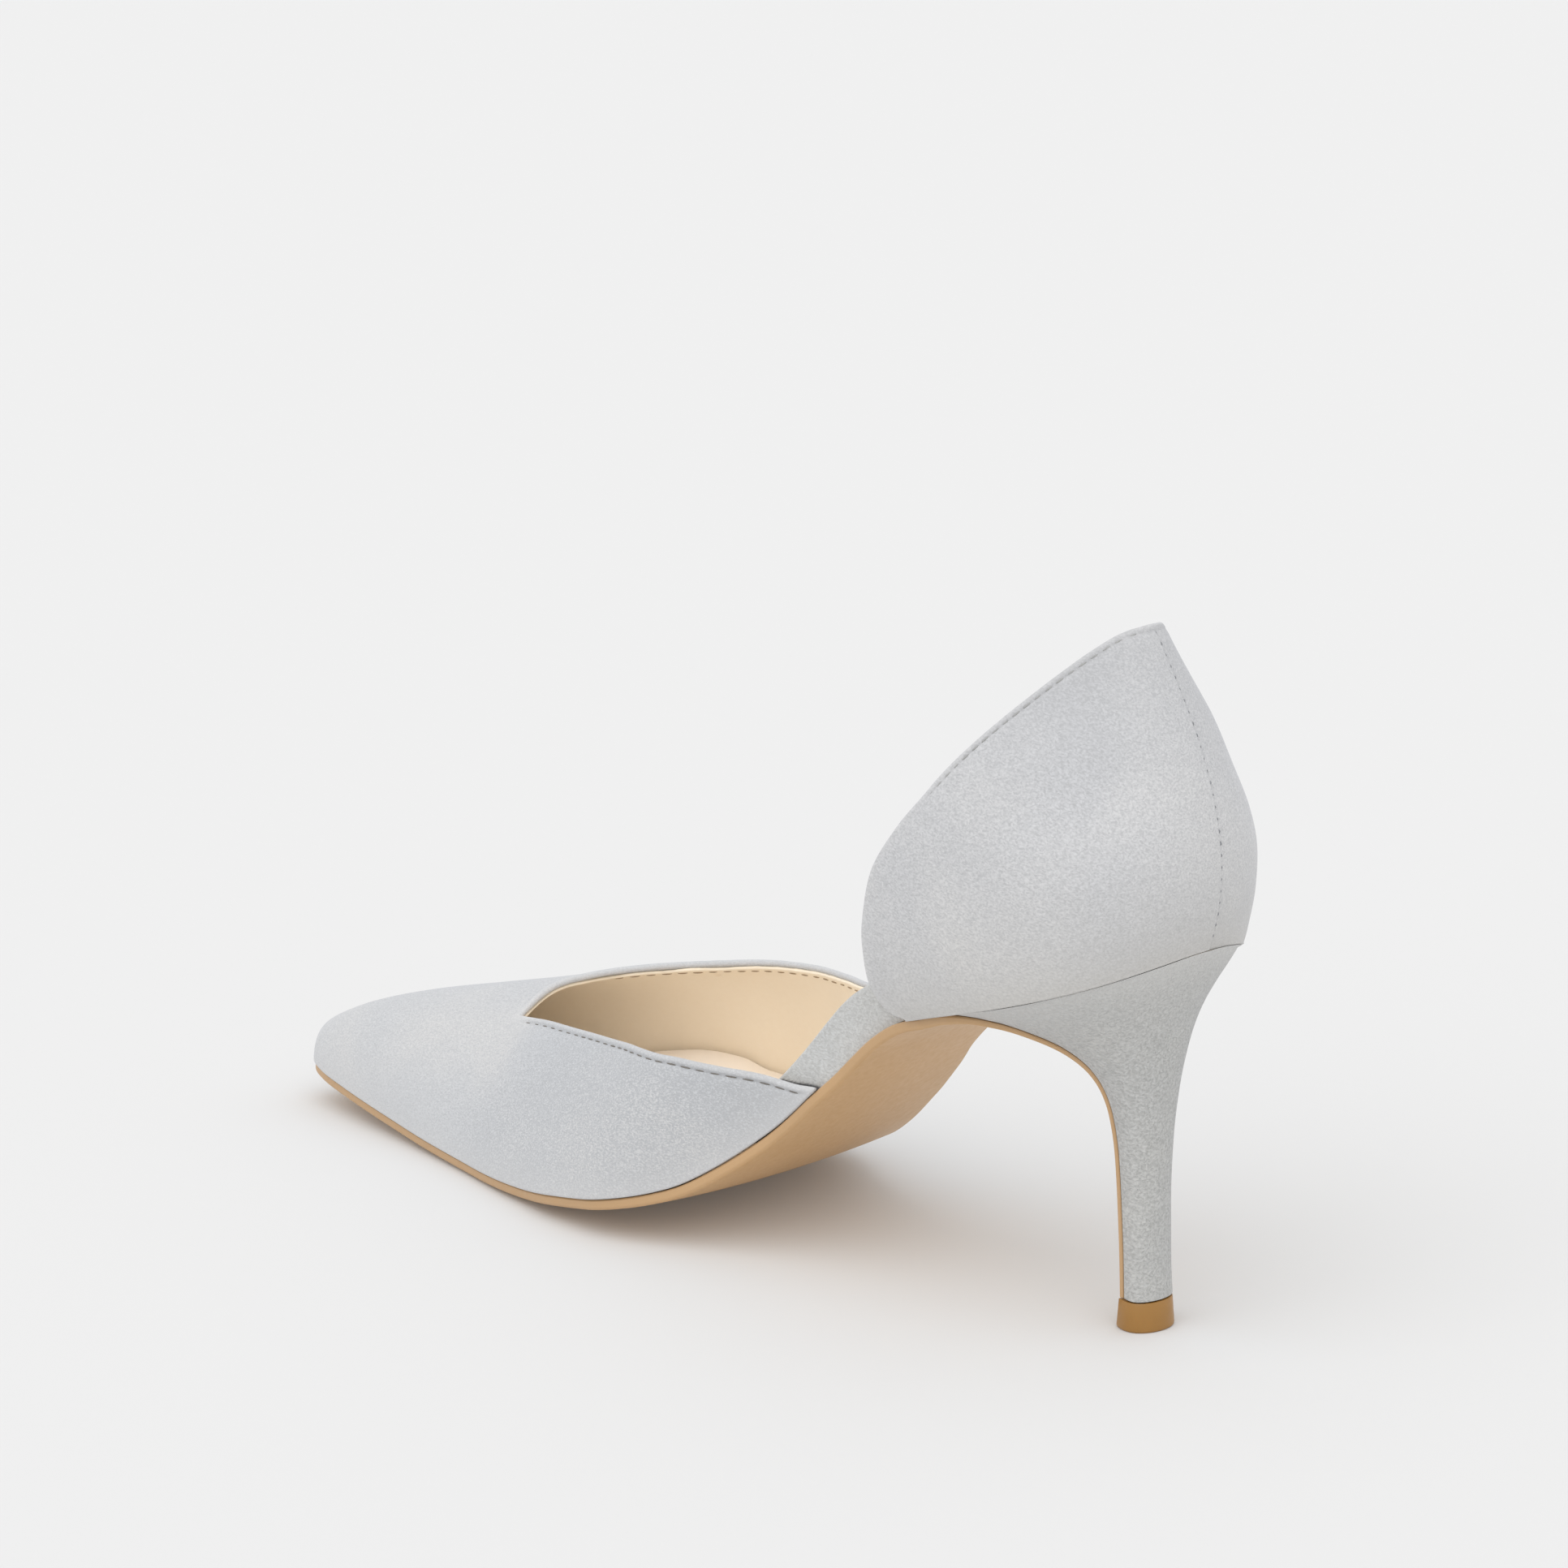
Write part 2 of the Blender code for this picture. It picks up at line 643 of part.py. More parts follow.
def build_heel(material, collection):
    # The top ring lies under the heel seat, the others run down the breast
    back = SEAT_BACK + HEEL_SEAT_INSET
    top = d_ring((HEEL_LIP_X, 0.0), (back, 0.0), HEEL_LIP_HALF, BREAST[1].heel_half)
    rings = [[(x, y, float(feather_height(x)) - GAP) for x, y, z in top]]
    for run in np.linspace(breast_run[2], breast_run[-1], HEEL_STATIONS)[1:]:
        row = breast_row(run)
        nx, nz = breast_normal(run)
        reach = row.thickness + GAP
        front = (row.x + nx * reach, row.z + nz * reach)
        rings.append(d_ring(front, (row.back_x, row.back_z), row.half, row.heel_half))
    return loft("heel", rings, material, collection)


def build_top_piece(material, collection):
    rings = [d_ring((tip.front, tip.z), (tip.back, tip.z), tip.front_half, tip.half) for tip in TOP_PIECE]
    return loft("top_piece", rings, material, collection)


def stand_on_origin(objects):
    # Put the origin on the floor, in the middle of the shoe
    corners = np.array([obj.matrix_world @ v.co for obj in objects for v in obj.data.vertices])
    low, high = corners.min(axis=0), corners.max(axis=0)
    middle = (low + high) / 2
    for obj in objects:
        for v in obj.data.vertices:
            v.co -= Vector((middle[0], middle[1], 0.0))


def main():
    for obj in list(bpy.data.objects):
        bpy.data.objects.remove(obj, do_unlink=True)
    shoe = bpy.data.collections.new("pump")
    bpy.context.scene.collection.children.link(shoe)
    suede = new_material("suede", (0.58, 0.59, 0.61), 0.95)
    covered_heel = new_material("heel_suede", (0.46, 0.46, 0.45), 0.95)
    cream = new_material("insole_leather", (0.77, 0.63, 0.49), 0.6)
    tan = new_material("sole_leather", (0.48, 0.31, 0.17), 0.45)
    caramel = new_material("top_piece_plastic", (0.37, 0.20, 0.07), 0.4)
    stand_on_origin([
        build_vamp(suede, shoe),
        build_counter(suede, shoe),
        build_waist_strip("waist_strip_medial", 1, suede, shoe),
        build_waist_strip("waist_strip_lateral", -1, suede, shoe),
        build_insole(cream, shoe),
        build_outsole(tan, shoe),
        build_heel(covered_heel, shoe),
        build_top_piece(caramel, shoe),
    ])


main()
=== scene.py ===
import math
from collections import Counter

import bpy
import numpy as np
from mathutils import Matrix, Vector
from mathutils.kdtree import KDTree


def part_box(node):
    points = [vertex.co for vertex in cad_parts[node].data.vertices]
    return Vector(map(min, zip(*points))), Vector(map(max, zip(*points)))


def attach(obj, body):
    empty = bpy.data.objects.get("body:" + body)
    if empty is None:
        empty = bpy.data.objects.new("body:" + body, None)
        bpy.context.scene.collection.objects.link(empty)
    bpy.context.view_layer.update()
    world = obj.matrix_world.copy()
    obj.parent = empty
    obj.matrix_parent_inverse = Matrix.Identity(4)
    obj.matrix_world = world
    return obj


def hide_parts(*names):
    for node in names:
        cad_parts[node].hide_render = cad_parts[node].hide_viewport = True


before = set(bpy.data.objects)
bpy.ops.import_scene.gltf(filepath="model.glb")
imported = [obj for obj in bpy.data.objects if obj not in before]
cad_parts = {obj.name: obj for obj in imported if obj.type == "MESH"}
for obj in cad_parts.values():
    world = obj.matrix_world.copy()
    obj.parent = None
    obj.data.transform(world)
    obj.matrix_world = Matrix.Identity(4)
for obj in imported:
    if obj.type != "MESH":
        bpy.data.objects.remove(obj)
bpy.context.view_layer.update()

mm = 0.001

# sizes below are millimetres on the last: x to the toe, y to the inner side, z up
last = {
    "toeX": 239.5, "throatX": 182.5, "wingX": 89.5, "gap": 0.3, "wall": 1.8, "narrowest": 0.4,
    "seatBack": 10.2, "seatHeight": 71.7, "seatPitch": 19.7, "sagFade": 18.0,
    "wingFlare": 1.0, "flareBack": 76.0, "flareFront": 112.0,
    # x, height, inner and outer edge where upper meets sole
    "feather": [
        (10.2, 71.7, 0, 0), (12, 70.6, 9, -9), (18, 67.7, 17.5, -17.5), (30, 63.2, 22.5, -22.5),
        (42, 59.2, 22, -22), (54, 55.5, 20.3, -20.3), (62, 53.0, 19.2, -19), (70, 50.2, 18.3, -17.6),
        (76, 46.5, 17.8, -17.4), (82, 41.3, 17.5, -17.8), (90, 33.5, 17.7, -19), (100, 24.3, 19, -22.5),
        (110, 16.2, 24.5, -26), (118, 11.5, 28, -29), (126, 8.9, 31.5, -33.5), (136, 6.7, 33, -37.5),
        (146, 5.0, 31.8, -38.5), (160, 3.1, 28.5, -37), (176, 2.4, 24.2, -32.8), (192, 2.8, 20.3, -26.7),
        (208, 4.1, 16.9, -19), (224, 6.0, 13.8, -9.6), (233, 7.2, 11.5, -3.0), (237, 7.8, 9.4, 0.6),
        (239.5, 8.2, 5, 5)],
    # x, ridge y, ridge z, fullness of the inner and outer side
    "arches": [
        (84, -2, 80, 2.2, 2.2), (100, -3, 69, 2.2, 2.2), (118, -4, 58.5, 2.0, 2.0),
        (128, -4.5, 53, 1.75, 2.1), (146, -5.5, 45, 1.5, 2.4), (162, -6, 38.5, 1.5, 2.6),
        (184, -6, 31.5, 1.5, 2.4), (200, -3.5, 27.8, 1.7, 2.2), (212, -1.5, 25, 1.8, 2.1),
        (224, 1.5, 21.5, 1.9, 2.0), (232, 3, 18.2, 2.0, 2.0), (237, 4.3, 15.2, 2.0, 2.0),
        (239.5, 5, 12.4, 2.0, 2.0)],
}
tipLow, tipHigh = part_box("top_piece")
shift = (last["toeX"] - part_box("upper_vamp")[1][0] / mm, -(tipLow[1] + tipHigh[1]) / 2 / mm)


def toWorld(p):
    return ((p[0] - shift[0]) * mm, (p[1] - shift[1]) * mm, p[2] * mm)


def smoothCurve(knots, values):
    # cubic through the values that never overshoots
    x, y = np.array(knots, float), np.array(values, float)
    step = np.diff(x)
    slope = np.diff(y) / step
    lean = np.zeros_like(y)
    lean[0], lean[-1] = slope[0], slope[-1]
    for i in range(1, len(x) - 1):
        if slope[i - 1] * slope[i] > 0:
            a, b = 2 * step[i] + step[i - 1], step[i] + 2 * step[i - 1]
            lean[i] = (a + b) / (a / slope[i - 1] + b / slope[i])

    def at(place):
        place = min(max(place, x[0]), x[-1])
        i = min(max(int(np.searchsorted(x, place)) - 1, 0), len(x) - 2)
        u = (place - x[i]) / step[i]
        start = y[i] * (1 + 2 * u) * (1 - u) ** 2 + step[i] * lean[i] * u * (1 - u) ** 2
        end = y[i + 1] * u * u * (3 - 2 * u) + step[i] * lean[i + 1] * u * u * (u - 1)
        return float(start + end)

    return at


def curvesOf(rows):
    keys = [row[0] for row in rows]
    return [smoothCurve(keys, [row[c] for row in rows]) for c in range(1, len(rows[0]))]


def smoothStep(place, start, end):
    u = min(max((place - start) / (end - start), 0.0), 1.0)
    return u * u * (3 - 2 * u)


def smoothSteps(places, start, end):
    return np.array([smoothStep(place, start, end) for place in places])


featherX = [row[0] for row in last["feather"]]
featherZ = curvesOf(last["feather"])[0]
featherMid = smoothCurve(featherX, [(row[2] + row[3]) / 2 for row in last["feather"]])
featherHalfSq = smoothCurve(featherX, [((row[2] - row[3]) / 2) ** 2 for row in last["feather"]])
ridgeY, ridgeZ, innerFull, outerFull = curvesOf(last["arches"])


def featherHalf(x):
    return math.sqrt(max(featherHalfSq(x), 0.0))


def upperHalf(x):
    rise = smoothStep(x, last["flareBack"], last["wingX"])
    fall = 1 - smoothStep(x, last["wingX"], last["flareFront"])
    return featherHalf(x) + last["wingFlare"] * rise * fall


def featherNormal(x, span=0.4):
    rise = featherZ(x + span) - featherZ(x - span)
    run = min(x + span, last["toeX"]) - max(x - span, last["seatBack"])
    size = math.hypot(run, rise)
    return -rise / size, run / size


def overFeather(x, y, lift):
    nx, nz = featherNormal(x)
    return x + nx * lift, y, featherZ(x) + nz * lift


# shader groups and finishes
def addGroup(name, inputs, outputs):
    group = bpy.data.node_groups.new(name, "ShaderNodeTree")
    for label, value in inputs.items():
        group.interface.new_socket(label, in_out="INPUT", socket_type="NodeSocketFloat").default_value = value
    for label in outputs:
        group.interface.new_socket(label, in_out="OUTPUT", socket_type="NodeSocketFloat")
    return group, group.nodes.new("NodeGroupInput"), group.nodes.new("NodeGroupOutput")


def plug(tree, value, socket):
    # a number or colour is set on the socket, anything else is linked to it
    if isinstance(value, tuple):
        socket.default_value = (*value, 1.0)
    elif isinstance(value, (int, float)):
        socket.default_value = value
    else:
        tree.links.new(value, socket)


def mathNode(tree, kind, a, b, clamp=False):
    node = tree.nodes.new("ShaderNodeMath")
    node.operation, node.use_clamp = kind, clamp
    plug(tree, a, node.inputs[0])
    plug(tree, b, node.inputs[1])
    return node.outputs[0]


def noiseNode(tree, vector, scale, detail, rough, distort=0.0):
    node = tree.nodes.new("ShaderNodeTexNoise")
    node.noise_type = "FBM"
    values = {"Vector": vector, "Scale": scale, "Detail": detail, "Roughness": rough, "Distortion": distort}
    for label, value in values.items():
        plug(tree, value, node.inputs[label])
    return node


def swung(tree, mask, gain):
    # a mask turned into plus and minus about its middle
    return mathNode(tree, "MULTIPLY", mathNode(tree, "SUBTRACT", mask, 0.5), gain)


def stretched(tree, mask, gain):
    return mathNode(tree, "ADD", swung(tree, mask, gain), 0.5, True)


def weighted(tree, a, share, b):
    return mathNode(tree, "ADD", mathNode(tree, "MULTIPLY", a, share), mathNode(tree, "MULTIPLY", b, 1 - share))


nap = {
    "brush": (0.6, 1.0, 1.0), "curl": 1.8, "curlScale": 0.5, "tuftScale": 0.3, "strokes": 0.88,
    "toneGain": 3.0, "patchGain": 2.4,
}
grain = {"smoothness": 0.6, "fineScale": 0.6, "pores": 0.5, "toneGain": 1.8, "cloudGain": 2.2}


def makeNapGroup():
    # short curled nap of suede, and the broad patches where it lies another way
    group, gin, gout = addGroup("suedeNap", {"Grain": 1500.0, "Patches": 40.0}, ("Height", "Tone", "Patch"))
    links, size = group.links, gin.outputs["Grain"]
    place = group.nodes.new("ShaderNodeTexCoord").outputs["Object"]
    brush = group.nodes.new("ShaderNodeVectorMath")
    brush.operation = "MULTIPLY"
    brush.inputs[1].default_value = nap["brush"]
    links.new(place, brush.inputs[0])
    coord = brush.outputs[0]
    warp = noiseNode(group, coord, mathNode(group, "MULTIPLY", size, nap["curlScale"]), 1.0, 0.5)
    offset = group.nodes.new("ShaderNodeVectorMath")
    offset.operation = "SCALE"
    links.new(warp.outputs["Color"], offset.inputs[0])
    links.new(mathNode(group, "DIVIDE", nap["curl"], size), offset.inputs["Scale"])
    curled = group.nodes.new("ShaderNodeVectorMath")
    links.new(coord, curled.inputs[0])
    links.new(offset.outputs[0], curled.inputs[1])
    strokes = noiseNode(group, curled.outputs[0], size, 2.0, 0.5).outputs["Fac"]
    tufts = noiseNode(group, coord, mathNode(group, "MULTIPLY", size, nap["tuftScale"]), 2.0, 0.5).outputs["Fac"]
    patch = noiseNode(group, place, gin.outputs["Patches"], 2.0, 0.5, 0.4).outputs["Fac"]
    both = weighted(group, strokes, nap["strokes"], tufts)
    links.new(both, gout.inputs["Height"])
    links.new(stretched(group, both, nap["toneGain"]), gout.inputs["Tone"])
    links.new(stretched(group, patch, nap["patchGain"]), gout.inputs["Patch"])
    return group


def makeGrainGroup():
    # smooth leather: tight pores, a fine wrinkle and slow cloudiness
    group, gin, gout = addGroup("leatherGrain", {"Pores": 1800.0, "Clouds": 60.0}, ("Height", "Tone", "Cloud"))
    links = group.links
    coord = group.nodes.new("ShaderNodeTexCoord").outputs["Object"]
    cells = group.nodes.new("ShaderNodeTexVoronoi")
    cells.feature = "SMOOTH_F1"
    cells.inputs["Smoothness"].default_value = grain["smoothness"]
    links.new(coord, cells.inputs["Vector"])
    links.new(gin.outputs["Pores"], cells.inputs["Scale"])
    wrinkle = mathNode(group, "MULTIPLY", gin.outputs["Pores"], grain["fineScale"])
    fine = noiseNode(group, coord, wrinkle, 4.0, 0.6).outputs["Fac"]
    cloud = noiseNode(group, coord, gin.outputs["Clouds"], 3.0, 0.5, 0.4).outputs["Fac"]
    links.new(weighted(group, cells.outputs["Distance"], grain["pores"], fine), gout.inputs["Height"])
    links.new(stretched(group, fine, grain["toneGain"]), gout.inputs["Tone"])
    links.new(stretched(group, cloud, grain["cloudGain"]), gout.inputs["Cloud"])
    return group


def colourMix(tree, factor, a, b):
    node = tree.nodes.new("ShaderNodeMix")
    node.data_type = "RGBA"
    plug(tree, factor, node.inputs["Factor"])
    for value, socket in zip((a, b), [s for s in node.inputs if s.type == "RGBA"]):
        plug(tree, value, socket)
    return [s for s in node.outputs if s.type == "RGBA"][0]


def startMaterial(name, values):
    material = bpy.data.materials.new(name)
    material.use_nodes = True
    tree = material.node_tree
    shader = tree.nodes["Principled BSDF"]
    for label, value in values.items():
        plug(tree, value, shader.inputs[label])
    return material, tree, shader


def addBump(tree, shader, height, strength, distance):
    bump = tree.nodes.new("ShaderNodeBump")
    bump.inputs["Strength"].default_value = strength
    bump.inputs["Distance"].default_value = distance * mm
    tree.links.new(height, bump.inputs["Height"])
    tree.links.new(bump.outputs["Normal"], shader.inputs["Normal"])


def placeGroup(tree, group, values):
    node = tree.nodes.new("ShaderNodeGroup")
    node.node_tree = group
    for label, value in values.items():
        node.inputs[label].default_value = value
    return node.outputs


def attributeTimes(tree, name, factor):
    node = tree.nodes.new("ShaderNodeAttribute")
    node.attribute_name = name
    return mathNode(tree, "MULTIPLY", node.outputs["Fac"], factor)


# the same for every suede and for every leather
suedeFinish = {"Roughness": 0.95, "Specular IOR Level": 0.15, "Sheen Roughness": 0.5, "Sheen Tint": (0.93, 0.95, 1.0)}
suedeLipAndShade = {"lipGain": 1.08, "paintedShade": 0.9, "shadeTone": (0.05, 0.05, 0.055)}
leatherFinish = {"Specular IOR Level": 0.5, "Coat Roughness": 0.35}
leatherUnevenAndShade = {"uneven": 0.18, "edge": 0.85}


def makeSuede(look):
    material, tree, shader = startMaterial(look["name"], {**suedeFinish, "Sheen Weight": look["sheen"]})
    pile = placeGroup(tree, napGroup, {"Grain": look["grain"], "Patches": look["patches"]})
    cloth = colourMix(tree, pile["Patch"], look["cool"], look["warm"])
    # where the nap lies the other way, and near the top of the counter, the grain's contrast changes and the colour is
    # drawn darker, a painted shade
    gain = mathNode(tree, "ADD", attributeTimes(tree, "napLieShade", look["brushed"]), look["contrast"])
    level = mathNode(tree, "ADD", attributeTimes(tree, "napLieShade", -look["drop"]), 0.5)
    level = mathNode(tree, "ADD", level, swung(tree, pile["Patch"], look["mottle"]))
    shown = mathNode(tree, "ADD", swung(tree, pile["Tone"], gain), level, True)
    colour = colourMix(tree, shown, look["shade"], cloth)
    pale = tuple(suedeLipAndShade["lipGain"] * c for c in look["warm"])
    # painted shade: a near-black mix in the stitch grooves and where the strips run in behind the wings
    paintedShading = (suedeLipAndShade["paintedShade"], suedeLipAndShade["shadeTone"])
    # near the hem the colour moves to the hem tone: lighter on the vamp and heel, darker on the counter
    for mask, share, tone in (("hem", look["hemShift"], look["hem"]), ("lip", look["lip"], pale), ("paintedShade", *paintedShading)):
        colour = colourMix(tree, attributeTimes(tree, mask, share), colour, tone)
    tree.links.new(colour, shader.inputs["Base Color"])
    addBump(tree, shader, pile["Height"], look["bump"], look["depth"])
    return material


def makeLeather(look):
    values = {**leatherFinish, "Roughness": look["rough"], "Coat Weight": look["coat"]}
    material, tree, shader = startMaterial(look["name"], values)
    hide = placeGroup(tree, grainGroup, {"Pores": look["pores"], "Clouds": look["clouds"]})
    cloudy = colourMix(tree, hide["Cloud"], look["low"], look["high"])
    colour = colourMix(tree, mathNode(tree, "MULTIPLY", hide["Tone"], look["speck"]), cloudy, look["fleck"])
    # the edge mask draws the side of the sole darker, a painted shade
    if "edge" in look:
        colour = colourMix(tree, attributeTimes(tree, "edge", leatherUnevenAndShade["edge"]), colour, look["edge"])
    tree.links.new(colour, shader.inputs["Base Color"])
    rough = mathNode(tree, "ADD", swung(tree, hide["Tone"], leatherUnevenAndShade["uneven"]), look["rough"], True)
    tree.links.new(rough, shader.inputs["Roughness"])
    addBump(tree, shader, hide["Height"], look["bump"], look["depth"])
    return material


napGroup, grainGroup = makeNapGroup(), makeGrainGroup()
looks = {
    "vamp": {
        "name": "vampSuede", "grain": 3500.0, "patches": 30.0, "bump": 0.55, "depth": 0.16, "sheen": 0.3,
        "hemShift": 0.5, "lip": 0.25, "contrast": 0.58, "brushed": 0.52, "drop": 0.3, "mottle": 0.2,
        "cool": (0.588, 0.606, 0.634), "warm": (0.636, 0.632, 0.628), "shade": (0.424, 0.434, 0.45),
        "hem": (0.636, 0.632, 0.628)},
    "counter": {
        "name": "counterSuede", "grain": 2750.0, "patches": 26.0, "bump": 0.5, "depth": 0.19, "sheen": 0.3,
        "hemShift": 0.6, "lip": 0.15, "contrast": 0.76, "brushed": -0.18, "drop": 0.25, "mottle": 0.2,
        "cool": (0.64, 0.645, 0.665), "warm": (0.676, 0.671, 0.665), "shade": (0.447, 0.451, 0.462),
        "hem": (0.51, 0.49, 0.45)},
    "heel": {
        "name": "heelSuede", "grain": 2250.0, "patches": 45.0, "bump": 1.0, "depth": 0.28, "sheen": 0.2,
        "hemShift": 0.75, "lip": 0.0, "contrast": 0.7, "brushed": 0.0, "drop": 0.0, "mottle": 0.1,
        "cool": (0.58, 0.585, 0.58), "warm": (0.605, 0.60, 0.58), "shade": (0.36, 0.36, 0.35),
        "hem": (0.62, 0.615, 0.60)},
    "strip": {
        "name": "stripSuede", "grain": 2700.0, "patches": 45.0, "bump": 0.6, "depth": 0.18, "sheen": 0.25,
        "hemShift": 0.0, "lip": 0.0, "contrast": 0.75, "brushed": 0.0, "drop": 0.0, "mottle": 0.1,
        "cool": (0.62, 0.63, 0.63), "warm": (0.64, 0.64, 0.625), "shade": (0.44, 0.44, 0.43),
        "hem": (0.64, 0.64, 0.625)},
    "lining": {
        "name": "liningLeather", "pores": 1500.0, "clouds": 45.0, "rough": 0.52, "bump": 0.2, "depth": 0.06,
        "coat": 0.05, "low": (0.92, 0.80, 0.63), "high": (0.945, 0.835, 0.67), "fleck": (0.885, 0.76, 0.585),
        "speck": 0.35},
    "insole": {
        "name": "insoleLeather", "pores": 1700.0, "clouds": 55.0, "rough": 0.58, "bump": 0.25, "depth": 0.06,
        "coat": 0.03, "low": (0.92, 0.84, 0.745), "high": (0.94, 0.865, 0.78), "fleck": (0.90, 0.81, 0.71),
        "speck": 0.35},
    "sole": {
        "name": "soleLeather", "pores": 1300.0, "clouds": 40.0, "rough": 0.42, "bump": 0.22, "depth": 0.05,
        "coat": 0.12, "low": (0.615, 0.383, 0.175), "high": (0.67, 0.43, 0.213), "fleck": (0.51, 0.30, 0.128),
        # the sole's edge colour is a painted shade for its side
        "speck": 0.4, "edge": (0.506, 0.318, 0.161)},
    "tip": {
        "name": "topPiecePlastic", "pores": 900.0, "clouds": 90.0, "rough": 0.36, "bump": 0.08, "depth": 0.04,
        "coat": 0.08, "low": (0.32, 0.158, 0.032), "high": (0.36, 0.178, 0.04), "fleck": (0.29, 0.143, 0.028),
        "speck": 0.3},
}
suede = {key: makeSuede(looks[key]) for key in ("vamp", "counter", "heel", "strip")}
leather = {key: makeLeather(looks[key]) for key in ("lining", "insole", "sole", "tip")}


def makeThread(name, low, high):
    material, tree, shader = startMaterial(name, {"Roughness": 0.7, "Specular IOR Level": 0.3})
    twist = placeGroup(tree, grainGroup, {"Pores": 4000.0, "Clouds": 200.0})
    tree.links.new(colourMix(tree, twist["Tone"], low, high), shader.inputs["Base Color"])
    return material


# vamp stitches are dark beads, a painted shade for the shadowed slots between stitches of suede-grey thread; counter
# stitches are grey beads, a painted shade for the dimples they sink
thread = makeThread("seamThread", (0.15, 0.135, 0.12), (0.24, 0.22, 0.20))
paleThread = makeThread("counterThread", (0.33, 0.33, 0.325), (0.42, 0.42, 0.41))
seamThread = makeThread("backSeamThread", (0.22, 0.225, 0.24), (0.29, 0.295, 0.31))
liningThread = makeThread("liningThread", (0.27, 0.19, 0.11), (0.42, 0.31, 0.20))
print("finishes made")


# building pieces; vamp and counter share these sizes
upper = {
    "suede": 1.1, "lipReach": 1.5, "reliefReach": 2.0, "grooveShadeWide": 0.22, "grooveShadeReach": 3.0, "stitchProud": 0.02,
    "lining": 0.68, "liningGap": 0.02, "liningDrop": 0.5, "liningRise": 0.8, "liningStitchOff": 0.03,
}


def enterPiece(piece, node):
    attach(piece, "root")
    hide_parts(node)


def addPiece(name, points, faces, material, slot, node, sharp=None):
    mesh = bpy.data.meshes.new(name)
    mesh.from_pydata([toWorld(p) for p in points], [], faces)
    mesh.materials.append(material)
    mesh.shade_smooth()
    if sharp:
        mesh.set_sharp_from_angle(angle=math.radians(sharp))
    piece = bpy.data.objects.new(name, mesh)
    bpy.context.scene.collection.objects.link(piece)
    enterPiece(piece, node)
    return piece


def setAttribute(piece, name, values):
    layer = piece.data.attributes.new(name, "FLOAT", "POINT")
    layer.data.foreach_set("value", np.asarray(values, np.float32))


def normalsOf(points, faces):
    mesh = bpy.data.meshes.new("measure")
    mesh.from_pydata([tuple(p) for p in points], [], faces)
    out = np.array([v.normal for v in mesh.vertices])
    bpy.data.meshes.remove(mesh)
    return out


def gridFaces(grid):
    rows = grid.tolist()
    return [(a[i], a[i + 1], b[i + 1], b[i]) for a, b in zip(rows, rows[1:]) for i in range(len(a) - 1)]


def arc(y, z, r, angles):
    return [(y + r * math.cos(a), z + r * math.sin(a)) for a in angles]


def distanceTo(line, points, fill=0.08):
    # distance of each point from a chain of points, filled in closely
    dense = []
    for a, b in zip(line, line[1:]):
        count = max(int(np.linalg.norm(b - a) / fill), 1)
        dense += [a + (b - a) * i / count for i in range(count)]
    dense.append(line[-1])
    tree = KDTree(len(dense))
    for i, p in enumerate(dense):
        tree.insert(p, i)
    tree.balance()
    return np.array([tree.find(p)[2] for p in points])


def lipRelief(rim, sizes):
    # a puffed lip with the sewn groove behind it
    groove = np.exp(-((rim - sizes["stitchAt"]) / sizes["grooveWide"]) ** 2) * sizes["groove"]
    puff = np.exp(-((rim - sizes["puffAt"]) / sizes["puffWide"]) ** 2) * sizes["puff"]
    return puff - groove


# painted shade: a soft dark line along the stitch groove
def grooveShade(rim, sizes):
    return np.exp(-((rim - sizes["stitchAt"]) / upper["grooveShadeWide"]) ** 2) * sizes["grooveShade"]


def sidesOf(face):
    return zip(face, face[1:] + face[:1])


def closeShell(points, normals, faces, edge, start, thick, relief):
    # outer and inner skin that meet in a rounded edge all round; relief lifts the outer skin
    r = thick / 2
    rounding = r - np.sqrt(np.maximum(r * r - (r - np.minimum(edge, r)) ** 2, 0.0))
    outer = points - normals * (start + rounding - relief)[:, None]
    inner = points - normals * (start + thick - rounding)[:, None]
    seen = Counter((min(side), max(side)) for face in faces for side in sidesOf(face))
    rim = {i for side, count in seen.items() if count == 1 for i in side}
    index = list(range(len(points)))
    free = [i for i in index if i not in rim]
    source = index + free
    for new, old in enumerate(free, len(points)):
        index[old] = new
    turned = [tuple(index[i] for i in reversed(face)) for face in faces]
    return list(outer) + [inner[i] for i in free], list(faces) + turned, source


def crossing(points, normals, field, level, i, j):
    u = (level - field[i]) / (field[j] - field[i])
    return points[i] + (points[j] - points[i]) * u, normals[i] + (normals[j] - normals[i]) * u


def clipSkin(points, normals, faces, field):
    # the part of a skin where field is above nought, cut clean along its line
    place, newFaces = {}, []
    for face in faces:
        polygon = []
        for i, j in sidesOf(face):
            if field[i] >= 0:
                polygon.append((i, i))
            if (field[i] >= 0) != (field[j] >= 0):
                polygon.append((min(i, j), max(i, j)))
        ids = [place.setdefault(pair, len(place)) for pair in polygon]
        if len(ids) > 2:
            newFaces.append(tuple(ids))
    cut = [(points[i], normals[i]) if i == j else crossing(points, normals, field, 0.0, i, j) for i, j in place]
    newPoints, newNormals = (np.array(part) for part in zip(*cut))
    return newPoints, newNormals, newFaces, np.array(list(place))


